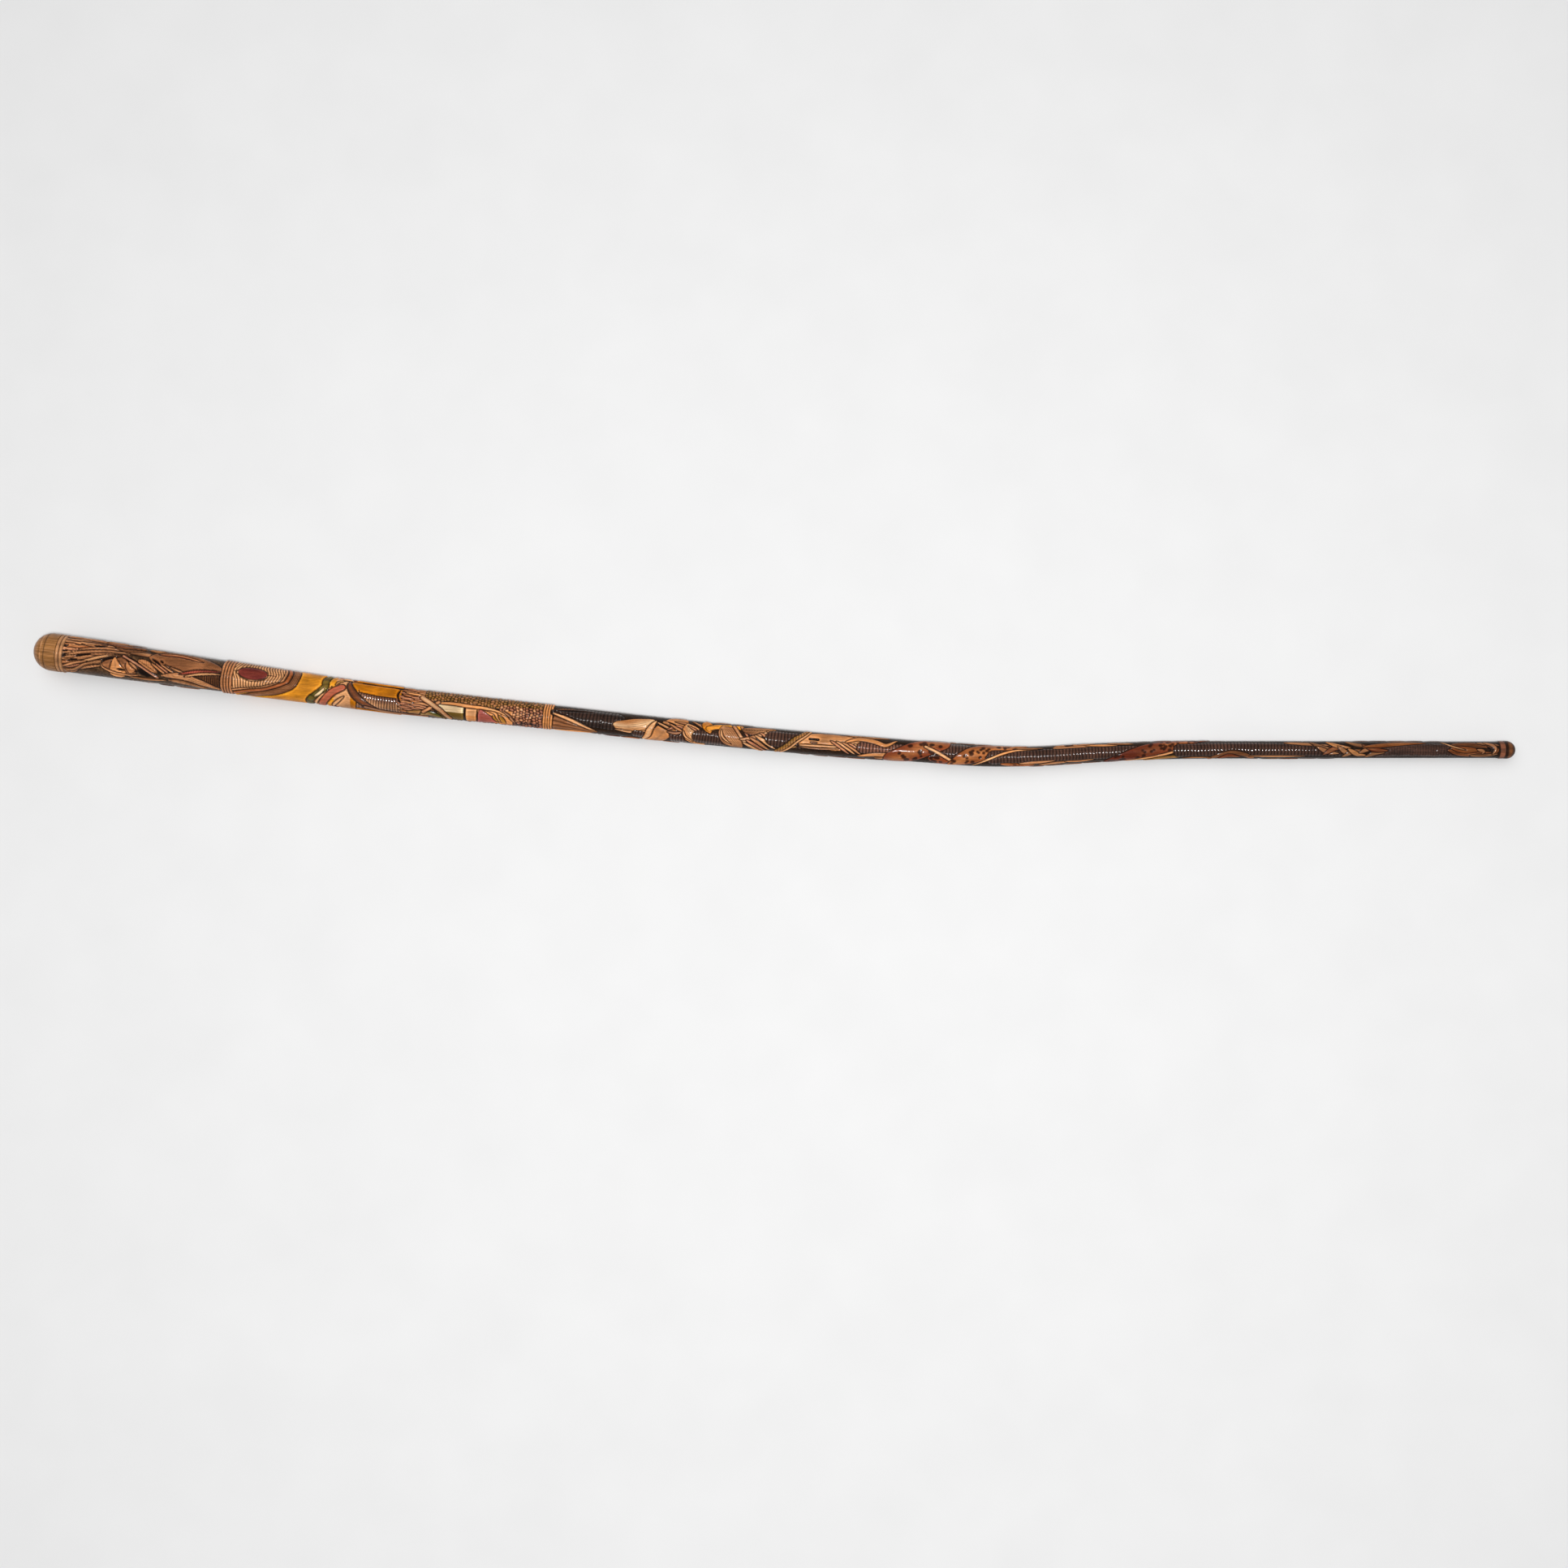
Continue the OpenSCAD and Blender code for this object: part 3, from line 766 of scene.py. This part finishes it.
def carveThinEnd():
    # one long dark snake, small leaves, then a tangle of leaves and the rough end
    carve("snake", 9.0, (699, 4), (716, -4), (736, -8), (762, -4), (796, 0), ribPitch=2.05)
    carve("strap", 3.0, (717, 70), (724, 34), (731, 20), (738, 34), (743, 62), tone="brown", topTone="orange")
    carve("smoothLeaf", 3.0, (722, 70), (728, 44), (736, 50), tone="rust")
    carve("strand", 1.5, (741, 44), (756, 48), (776, 46))
    carve("strand", 2.6, (762, -52), (776, -42), (790, -30))
    carve("strand", 1.4, (700, 62), (708, 56), (718, 56), tone="brown")
    carve("snake", 9.5, (820, 2), (838, -2), (856, 2), (872, 6),
        ribPitch=1.6, rough=0.7, ribDepth=0.45, top=0.3, ribInk=0.4)
    tangle = [(778, -58, 792, -6, "brown"), (782, -22, 796, 26, "tan"), (786, 34, 799, -18, "rust"),
              (788, -62, 803, -14, "orange"), (795, -26, 805, 36, "tan"), (798, 52, 811, 4, "brown"),
              (800, -64, 816, -30, "brown"), (801, -8, 813, 42, "orange"), (808, 22, 822, -16, "tan"),
              (812, 56, 824, 20, "brown"), (810, -34, 826, 6, "rust")]
    for first, firstTurn, last, lastTurn, tone in tangle:
        bow = 14 if firstTurn < lastTurn else -14
        carve("smoothLeaf", 3.0, (first, firstTurn), ((first + last) / 2, (firstTurn + lastTurn) / 2 + bow),
            (last, lastTurn), tone=tone)
    carve("feather", 3.4, (810, -18), (822, -34), (836, -48), (850, -50), tone="redBrown", topTone="orange")
    carve("feather", 4.6, (864, -36), (874, -40), (884, -30), (890, -8), tone="brown", topTone="redBrown")
    carve("feather", 5.0, (862, 2), (870, 22), (880, 30), (889, 20), tone="redBrown", topTone="tan", lines=3)
    carve("smoothLeaf", 4.4, (864, -14), (872, 0), (882, 4), tone="redBrown", topTone="orange", lines=3)
    carve("smoothLeaf", 3.0, (876, 44), (884, 46), (893, 30), tone="brown")
    carve("smoothLeaf", 3.0, (880, -50), (887, -46), (894, -30), tone="brown")
    carve("smoothLeaf", 2.4, (889, -24), (892.3, 0), (891, 30), tone="redBrown", topTone="tan")
    carve("strand", 2.2, (880, -2), (884, 12), (883, 30))
    carve("strand", 2.2, (884, -56), (889.5, -34), (891.5, -2), (889.5, 36))
    carve("hollow", 1.1, (886, -24), (888.5, -4), (887.5, 16))
    carve("strand", 1.1, (858, -62), (865, -24), (873, 2), tone="paleTan")

backSnake = {"runs": ((24, 112), (318, 444), (456, 868)), "sway": 24, "swayMm": 21, "width": 0.85,
             "pathStep": 15.0, "leafStep": 11.0, "leafTurn": 52, "leafWidth": 0.42}


def snakeTurn(place):
    # where the snake on the back lies at a place along the stick
    return 180 + backSnake["sway"] * math.sin(place / backSnake["swayMm"])


def carveBack():
    # the side that lies down: a snake that wanders along it, with leaves on both sides
    for first, last in backSnake["runs"]:
        path = [(place, snakeTurn(place)) for place in np.arange(first, last, backSnake["pathStep"])]
        carve("snake", backSnake["width"] * radiusAt((first + last) / 2), *path,
            tone="darkRib" if first > 300 else "roseRib")
        for count, place in enumerate(np.arange(first + 6, last - 16, backSnake["leafStep"])):
            for side in (-1, 1):
                edge = snakeTurn(place) + side * backSnake["leafTurn"]
                tone = ("tan", "brown", "rust", "redBrown", "roseRib")[(count + 2 * (side > 0)) % 5]
                look = ("leaf", "smoothLeaf", "feather", "strand")[(count + (side > 0)) % 4]
                drift = chance.uniform(-8, 8)
                carve(look, backSnake["leafWidth"] * radiusAt(place), (place, edge),
                    (place + 8, edge + side * 12 + drift), (place + 17, edge + side * (4 + drift)), tone=tone)


def carveBackFields():
    # the back of the amber wood and the scaled part
    scales(zone(224, 310, -180, -96) | zone(224, 310, 96, 180), 2.6, "brown", "rose")
    for place in (198, 214, 236, 254, 272, 290):
        for turn in (128, 180, 232):
            carve("leaf", 4.6, (place - 8, turn), (place, turn + 8), (place + 9, turn - 4),
                tone="rust" if place < 220 else "orange")


def carveAll():
    # the ground first: pale stipple under the strands, darker wood past the rings
    thick = zone(16, 118)
    colour[thick] = 0.7 * stain["stipple"] * (1 + 0.7 * speckle[thick] + 0.5 * mottle[thick])[:, None]
    colour[zone(316, 905)] *= 0.7
    carveBackFields()
    carveBack()
    carveStrands()
    carvePod()
    carveWing()
    carveBands()
    carveHoops()
    carveRibbedHorn()
    carveFur()
    carvePanels()
    carveRingBundle()
    carveArrowAndSnake()
    carveFanLeaf()
    carveShells()
    carveFeathers()
    carveRopeAndBody()
    carveHides()
    carveThinEnd()


finishing = {"sand": 1, "lookRound": 8, "deepMm": 0.14, "paintedHollowShade": 0.75, "ridgeLightAndWear": 0.5, "mottled": 0.22,
             "speckled": 0.10, "seat": 1.2, "seatFrom": 0.3, "seatLevel": -0.55, "darkest": 0.002,
             "darkerFrom": (0, 620, 780, 905), "darkerTo": (1, 1, 0.72, 0.66)}


def finishSurface():
    # sanding, painted shade in the hollows, ridges painted paler as highlight and wear, and plain seats for
    # the end pieces
    relief = softened(height, finishing["sand"]) * cutDepth[:, None]
    cup = softened(relief, finishing["lookRound"]) - relief
    deep = np.clip(cup / finishing["deepMm"], 0, 1)
    raised = np.clip(-cup / finishing["deepMm"], 0, 1)
    # painted shade: darker wherever the sanded relief lies below its surroundings
    tint = mixed(colour, stain["burnt"], finishing["paintedHollowShade"] * deep)
    # painted highlight, with wear: paler wherever the relief stands above its surroundings
    tint = tint * (1 + finishing["ridgeLightAndWear"] * raised)[..., None]
    tint *= (1 + finishing["mottled"] * mottle + finishing["speckled"] * speckle)[..., None]
    tint *= np.interp(alongs, finishing["darkerFrom"], finishing["darkerTo"])[:, None, None]
    fromEnd = np.minimum(alongs - shaftStart, shaftEnd - alongs)
    carved = np.clip((fromEnd - finishing["seatFrom"]) / finishing["seat"], 0, 1)[:, None]
    seatHeight = finishing["seatLevel"] * cutDepth[:, None]
    relief = seatHeight + (relief - seatHeight) * carved
    return relief, np.clip(tint, finishing["darkest"], 1), deep


print("carving the sheet:", rings, "rings of", len(turns))
carveAll()
relief, tint, deep = finishSurface()


# materials
def addNode(tree, kind, inputs=None, **settings):
    # a shader node with its settings and its inputs, each a fixed value or another node's socket
    node = tree.nodes.new("ShaderNode" + kind)
    for name, value in settings.items():
        setattr(node, name, value)
    for name, value in (inputs or {}).items():
        if isinstance(value, bpy.types.NodeSocket):
            tree.links.new(value, node.inputs[name])
        else:
            node.inputs[name].default_value = value
    return node


def newMaterial(name):
    material = bpy.data.materials.new(name)
    material.use_nodes = True
    tree = material.node_tree
    return material, tree, tree.nodes["Principled BSDF"]


def stretchedNoise(tree, place, acrossMm, alongMm, detail=2.0):
    # noise with a grain of a real size, drawn out along the stick
    stretch = addNode(tree, "Mapping", {"Vector": place, "Scale": (acrossMm / alongMm, 1, 1)})
    noise = addNode(tree, "TexNoise", {"Vector": stretch.outputs["Vector"], "Scale": 1 / (acrossMm * mm),
                                       "Detail": detail, "Roughness": 0.6})
    return noise.outputs["Fac"]


def spanInputs(value, low, high, toLow, toHigh):
    # inputs that stretch one span of values to another
    return {"Value": value, "From Min": low, "From Max": high, "To Min": toLow, "To Max": toHigh}


# beech stained by hand, cut with a knife, scorched in the cuts and brushed with gloss varnish:
# the varnish gives bright glints on the ridges, the grain shows through as fine streaks
# (each shade or gloss runs from the first pair of values to the second)
carvedFinish = {"poreMm": 0.35, "poreLengthMm": 7, "poreShade": (0.34, 0.60, 0.72, 1.10),
                "grainMm": 1.1, "grainLengthMm": 26, "grainShade": (0.3, 0.7, 0.80, 1.18),
                "blotchMm": 9, "blotchShade": (0.3, 0.7, 0.84, 1.16), "shade": 0.8,
                "toolMm": 0.9, "toolGloss": (0.3, 0.7, 0.8, 1.25), "bumpMm": 0.05, "bump": 0.8,
                "gloss": 0.30, "cutGloss": 0.6, "specular": 0.1, "index": 1.38,
                "coat": 0.14, "ribCoat": 0.85, "coatRough": 0.1}
# the same beech turned on a lathe: smoother, with light scratches along it
turnedFinish = {**carvedFinish, "toolMm": 0.5, "bumpMm": 0.03, "gloss": 0.34, "specular": 0.16}


def varnishedWood(name, facts):
    material, tree, shader = newMaterial(name)
    place = addNode(tree, "TexCoord").outputs["Object"]
    paint = addNode(tree, "Attribute", attribute_name="stain")
    pores = stretchedNoise(tree, place, facts["poreMm"], facts["poreLengthMm"])
    grain = stretchedNoise(tree, place, facts["grainMm"], facts["grainLengthMm"], 3)
    blotch = stretchedNoise(tree, place, facts["blotchMm"], facts["blotchMm"] * 2)
    tools = stretchedNoise(tree, place, facts["toolMm"], facts["toolMm"] * 1.6, 1)
    fine = addNode(tree, "MapRange", spanInputs(pores, *facts["poreShade"])).outputs["Result"]
    long = addNode(tree, "MapRange", spanInputs(grain, *facts["grainShade"])).outputs["Result"]
    low, high, dark, pale = facts["blotchShade"]
    span = spanInputs(blotch, low, high, dark * facts["shade"], pale * facts["shade"])
    patches = addNode(tree, "MapRange", span).outputs["Result"]
    streaks = addNode(tree, "Math", {0: fine, 1: long}, operation="MULTIPLY").outputs["Value"]
    shade = addNode(tree, "Math", {0: streaks, 1: patches}, operation="MULTIPLY").outputs["Value"]
    tinted = addNode(tree, "VectorMath", {0: paint.outputs["Color"], "Scale": shade}, operation="SCALE")
    tree.links.new(tinted.outputs["Vector"], shader.inputs["Base Color"])
    span = spanInputs(paint.outputs["Alpha"], 0, 1, facts["gloss"], facts["cutGloss"])
    gloss = addNode(tree, "MapRange", span).outputs["Result"]
    uneven = addNode(tree, "MapRange", spanInputs(tools, *facts["toolGloss"])).outputs["Result"]
    rough = addNode(tree, "Math", {0: gloss, 1: uneven}, operation="MULTIPLY").outputs["Value"]
    tree.links.new(rough, shader.inputs["Roughness"])
    tooled = addNode(tree, "Math", {0: tools, 1: pores}, operation="ADD").outputs["Value"]
    bump = addNode(tree, "Bump", {"Height": tooled, "Distance": facts["bumpMm"] * mm,
                                  "Strength": facts["bump"]})
    tree.links.new(bump.outputs["Normal"], shader.inputs["Normal"])
    shader.inputs["IOR"].default_value = facts["index"]
    shader.inputs["Specular IOR Level"].default_value = facts["specular"]
    varnish = addNode(tree, "Attribute", attribute_name="varnish").outputs["Fac"]
    coat = addNode(tree, "MapRange", spanInputs(varnish, 0, 1, facts["coat"], facts["ribCoat"]))
    tree.links.new(coat.outputs["Result"], shader.inputs["Coat Weight"])
    shader.inputs["Coat Roughness"].default_value = facts["coatRough"]
    return material


# plain birch dowel, unvarnished: pale and matt with fine straight grain
birch = {"pale": "#d9b98a", "dark": "#b98f5c", "darkAt": 0.35, "paleAt": 0.62, "grainMm": 0.5,
         "grainLengthMm": 14, "rough": 0.7}


def birchDowel():
    material, tree, shader = newMaterial("plainBirchDowel")
    place = addNode(tree, "TexCoord").outputs["Object"]
    grain = stretchedNoise(tree, place, birch["grainMm"], birch["grainLengthMm"], 3)
    ramp = addNode(tree, "ValToRGB", {"Fac": grain})
    for stop, name in zip(ramp.color_ramp.elements, ("dark", "pale")):
        stop.color = (*linear(birch[name]), 1)
        stop.position = birch[name + "At"]
    tree.links.new(ramp.outputs["Color"], shader.inputs["Base Color"])
    shader.inputs["Roughness"].default_value = birch["rough"]
    return material


# plain paper-white floor, matt with a faint tooth
paper = {"size": 6, "below": 0.0004, "toothMm": 60, "shade": (0.3, 0.7, 0.68, 0.70), "rough": 0.9}


def paleFloor():
    material, tree, shader = newMaterial("palePaperFloor")
    place = addNode(tree, "TexCoord").outputs["Object"]
    tooth = stretchedNoise(tree, place, paper["toothMm"], paper["toothMm"])
    tone = addNode(tree, "MapRange", spanInputs(tooth, *paper["shade"])).outputs["Result"]
    white = addNode(tree, "CombineColor", {"Red": tone, "Green": tone, "Blue": tone})
    tree.links.new(white.outputs["Color"], shader.inputs["Base Color"])
    shader.inputs["Roughness"].default_value = paper["rough"]
    return material


# making the pieces
making = {"smoothBelow": 52, "weld": 2e-6, "spinSteps": 128}


def onlyThis(piece):
    bpy.ops.object.select_all(action="DESELECT")
    piece.select_set(True)
    bpy.context.view_layer.objects.active = piece


def dress(piece, material, slotName, *nodes):
    # finish, body and the CAD node that the piece stands for
    onlyThis(piece)
    bpy.ops.object.shade_smooth_by_angle(angle=math.radians(making["smoothBelow"]))
    piece.data.materials.clear()
    piece.data.materials.append(material)
    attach(piece, "root")
    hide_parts(*nodes)


def closeShape():
    # in edit mode: weld what touches, fill open ends, turn the faces outwards
    bpy.ops.mesh.select_all(action="SELECT")
    bpy.ops.mesh.remove_doubles(threshold=making["weld"])
    bpy.ops.mesh.select_all(action="SELECT")
    bpy.ops.mesh.fill_holes(sides=0)
    bpy.ops.mesh.select_all(action="SELECT")
    bpy.ops.mesh.normals_make_consistent(inside=False)


def boreEnd(piece, dowelRadius, depth, inwards):
    # a blind dowel hole in the end face that lies furthest against the inward direction
    bpy.ops.object.mode_set(mode="OBJECT")
    ends = sorted(piece.data.polygons, key=lambda face: len(face.vertices))[-2:]
    end = min(ends, key=lambda face: face.center.dot(inwards))
    rim = Vector(piece.data.vertices[end.vertices[0]].co)
    for face in piece.data.polygons:
        face.select = face == end
    bpy.context.tool_settings.mesh_select_mode = (False, False, True)
    bpy.ops.object.mode_set(mode="EDIT")
    bpy.ops.mesh.inset(thickness=(rim - end.center).length - dowelRadius, depth=0)
    bpy.ops.mesh.extrude_region_move(TRANSFORM_OT_translate={"value": inwards * depth})


def paintOn(mesh, colours):
    # stain, on the shaft with its painted shade and highlights, in the first three channels, depth of the cut
    # in the fourth
    mesh.color_attributes.new("stain", "FLOAT_COLOR", "POINT").data.foreach_set("color", colours.ravel())


def rolledPiece(name, firstRing, lastRing, bores=()):
    # a flat grid as long as this part of the shaft, carved and rolled round it
    bpy.ops.object.select_all(action="DESELECT")
    bpy.ops.mesh.primitive_grid_add(x_subdivisions=lastRing - firstRing, y_subdivisions=len(turns), size=1)
    piece = bpy.context.object
    piece.name = piece.data.name = name
    flat = meshPoints(piece) + 0.5
    row = firstRing + np.rint(flat[:, 0] * (lastRing - firstRing)).astype(int)
    column = np.rint(flat[:, 1] * len(turns)).astype(int) % len(turns)
    rolled = onStick(alongs[row], turns[column], relief[row, column])
    piece.data.vertices.foreach_set("co", rolled.ravel())
    paintOn(piece.data, np.column_stack([tint[row, column], deep[row, column]]))
    varnish = piece.data.attributes.new("varnish", "FLOAT", "POINT")
    varnish.data.foreach_set("value", shine[row, column])
    onlyThis(piece)
    bpy.ops.object.mode_set(mode="EDIT")
    bpy.context.tool_settings.mesh_select_mode = (True, False, False)
    closeShape()
    for radius, depth, inwards in bores:
        boreEnd(piece, radius, depth, inwards)
    bpy.ops.object.mode_set(mode="OBJECT")
    print("rolled", name, len(piece.data.polygons), "faces")
    return piece


def axisAt(along):
    # a point on the stick's middle line, and the way the line runs there
    middle = Vector(onStick(np.array(along), 0.0, -float(radiusAt(along))))
    lean = float(np.interp(headX + along * mm, spine["x"], spine["lean"]))
    return middle, Vector((math.cos(lean), math.sin(lean), 0))


def turnedPiece(name, outline, middle, forward, paintAt):
    # an outline of (mm along the axis, mm out from it), spun round and set on the stick's line
    mesh = bpy.data.meshes.new(name)
    mesh.from_pydata([(out * mm, 0, away * mm) for away, out in outline],
                     [(i, i + 1) for i in range(len(outline) - 1)], [])
    piece = newObject(name, mesh)
    onlyThis(piece)
    bpy.ops.object.mode_set(mode="EDIT")
    bpy.ops.mesh.select_all(action="SELECT")
    bpy.ops.mesh.spin(steps=making["spinSteps"], angle=math.tau, center=(0, 0, 0), axis=(0, 0, 1))
    closeShape()
    bpy.ops.object.mode_set(mode="OBJECT")
    points = meshPoints(piece)
    angle = np.arctan2(points[:, 1], points[:, 0])
    paintOn(mesh, np.array([paintAt(away / mm, turn) for away, turn in zip(points[:, 2], angle)]))
    up = Vector((0, 0, 1))
    turned = Matrix((up.cross(forward), -up, forward)).transposed().to_4x4()
    mesh.transform(Matrix.Translation(middle) @ turned)
    return piece


def notch(away, place, width, depth):
    # how deep a V cut is at this place
    return depth * max(0.0, 1 - abs(away - place) / (width / 2))


# the end pieces, in mm: places are along the axis, from the middle of the dome
head = {"radius": 11.5, "band": 4.8, "collar": 4.6, "scored": -2.1, "scoreWidth": 0.7, "scoreDepth": 0.22,
        "ring": -4.3, "fine": -5.4, "fineWidth": 0.6, "fineDepth": 0.12, "beadDepth": 0.75, "beadSteps": 40,
        "dowel": 4.0, "hole": 9.0, "holeInShaft": 26.0, "gap": 0.05}
foot = {"radius": 5.4, "band": 1.2, "ring": 4.0, "dowel": 1.6, "hole": 4.0, "holeInShaft": 12.0, "gap": 0.05,
        "notchWidth": 0.5, "edgeDepth": 0.25, "scored": 1.2, "scoreDepth": 0.18, "ringSteps": 24}
dome = {"steps": 52, "bandSteps": 14, "bandShort": 0.2, "bevel": 0.25}


def domeRadius(radius, away):
    return math.sqrt(max(radius ** 2 - min(away, 0.0) ** 2, 0.0))


def domeOutline(facts, cutAt=None):
    # from the tip of the dome to its flat back, with a blind hole for the dowel
    radius, band, steps = facts["radius"], facts["band"] - facts["gap"], dome["steps"]
    run = [-radius * math.cos(math.pi / 2 * i / steps) for i in range(steps)]
    run += list(np.linspace(0, band - dome["bandShort"], dome["bandSteps"]))
    outside = [(away, max(domeRadius(radius, away) - (cutAt(away) if cutAt else 0.0), 0.0)) for away in run]
    outside[0] = (-radius, 0.0)
    deepest = band - facts["hole"]
    return outside + [(band, radius - dome["bevel"]), (band, facts["dowel"]), (deepest, facts["dowel"]),
                      (deepest, 0.0)]


def tubeOutline(facts, first, last, steps, cutAt):
    # a short tube on the dowel, cut in at its outside
    run = [first + (last - first) * i / steps for i in range(steps + 1)]
    hole = facts["dowel"]
    return [(first, hole), *((away, cutAt(away)) for away in run), (last, hole), (first, hole)]


def headPaint(away, turn):
    # scratches left by the lathe, a pale ring, and a burnt line on each side of it
    scratch = 0.5 + 0.5 * math.sin(37 * turn + 3 * math.sin(5 * turn))
    tone = stain["band"] * (0.92 + 0.14 * scratch)
    pale = math.exp(-((away - head["ring"]) / 0.6) ** 2) * (0.6 + 0.4 * math.sin(9 * turn))
    tone = mixed(tone, stain["paleTan"], np.array(0.8 * pale + 0.35 * max(0, scratch - 0.8) * 5))
    line = notch(away, head["scored"], 1.0, 1.0) + notch(away, head["fine"], 0.8, 0.6)
    tone = mixed(tone, stain["burnt"], np.array(0.75 * min(line, 1.0)))
    darker = np.clip((-away - 7.5) / 4, 0, 1)
    return (*(tone * (1 - 0.25 * darker)), 0.5 * min(line, 1))


def collarPaint(away, turn):
    hill = abs(math.sin(math.pi * (away - head["band"]) / 2.3))
    pale = stain["paleTan"] * (0.85 + 0.15 * math.sin(7 * turn))
    return (*mixed(stain["burnt"] * 2, pale, np.array(hill ** 0.5)), 0.2)


def headCuts(away):
    return (notch(away, head["scored"], head["scoreWidth"], head["scoreDepth"])
            + notch(away, head["fine"], head["fineWidth"], head["fineDepth"]))


def collarRadius(away):
    hill = abs(math.sin(math.pi * (away - head["band"]) / (head["collar"] / 2)))
    return head["radius"] - head["beadDepth"] * (1 - hill ** 0.6)


def makeHead(material):
    middle, forward = axisAt(head["radius"])
    cap = turnedPiece("turned_head_cap", domeOutline(head, headCuts), middle, forward, headPaint)
    dress(cap, material, "turned_wood", "head_cap")
    first = head["band"]
    outline = tubeOutline(head, first, first + head["collar"], head["beadSteps"], collarRadius)
    collar = turnedPiece("turned_head_collar", outline, middle, forward, collarPaint)
    dress(collar, material, "pale_wood", "head_collar")


def footPaint(away, turn):
    joint = math.exp(-((away - 0.7) / 0.9) ** 2)
    tone = mixed(stain["brown"] * (0.85 + 0.12 * math.sin(8 * turn)), stain["burnt"], np.array(0.95 * joint))
    tip = np.clip((-away - 1.8) / 1.2, 0, 1)
    return (*mixed(tone, stain["burnt"], np.array(0.75 * tip)), 0.3)


def footRingPaint(away, turn):
    pale = np.clip((away - 1.8) / 0.5, 0, 1) * (0.62 + 0.25 * math.sin(6 * turn + 1))
    edge = np.clip((away - 4.7) / 0.4, 0, 1)
    return (*mixed(stain["burnt"] * 1.3, stain["rose"] * 0.9, np.array(pale * (1 - 0.6 * edge))), 0.2)


def ringRadiusAt(away):
    first, width = foot["band"], foot["notchWidth"]
    return (foot["radius"] - foot["gap"] - notch(away, first, width, foot["edgeDepth"])
            - notch(away, first + foot["ring"], width, foot["edgeDepth"])
            - notch(away, first + foot["scored"], width, foot["scoreDepth"]))


def makeFoot(material):
    tip = (cadBox[1].x - headX) / mm
    middle, forward = axisAt(tip - foot["radius"])
    cap = turnedPiece("turned_foot_cap", domeOutline(foot), middle, -forward, footPaint)
    dress(cap, material, "dark_wood", "foot_cap")
    first = foot["band"]
    outline = tubeOutline(foot, first, first + foot["ring"], foot["ringSteps"], ringRadiusAt)
    ring = turnedPiece("turned_foot_ring", outline, middle, -forward, footRingPaint)
    dress(ring, material, "pale_wood", "foot_ring")


# the shaft is rolled in six lengths, divided where a cut or a snake's rib hides the line
lengths = {"shaft_strands": 115.9, "shaft_hoops": 310.1, "shaft_shells": 452.0, "shaft_hides": 600.0,
           "shaft_snake": 745.0, "shaft_tangle": shaftEnd}


def makeShaft(material):
    headForward, footForward = axisAt(shaftStart)[1], axisAt(shaftEnd)[1]
    firstRing = 0
    for name, last in lengths.items():
        lastRing = int(np.abs(alongs - last).argmin())
        bores = []
        if firstRing == 0:
            bores.append((head["dowel"] * mm, head["holeInShaft"] * mm, headForward))
        if lastRing == len(alongs) - 1:
            bores.append((foot["dowel"] * mm, foot["holeInShaft"] * mm, -footForward))
        piece = rolledPiece(name, firstRing, lastRing, bores)
        dress(piece, material, "carved_wood", "shaft")
        firstRing = lastRing


def makeDowels():
    material = birchDowel()
    for name in ("head_dowel", "foot_dowel"):
        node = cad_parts[name]
        node.data.materials.clear()
        node.data.materials.append(material)


def makeFloor():
    bpy.ops.object.select_all(action="DESELECT")
    bpy.ops.mesh.primitive_plane_add(size=paper["size"], location=(0, 0, cadBox[0].z - paper["below"]))
    floor = bpy.context.object
    floor.name = "paper_floor"
    bpy.ops.object.transform_apply(location=True, rotation=False, scale=False)
    floor.data.materials.append(paleFloor())


addCamera()
addLamps()
makeFloor()
carvedWood = varnishedWood("varnishedCarvedBeech", carvedFinish)
turnedWood = varnishedWood("varnishedTurnedBeech", turnedFinish)
makeShaft(carvedWood)
makeHead(turnedWood)
makeFoot(turnedWood)
makeDowels()
print("all pieces are made")
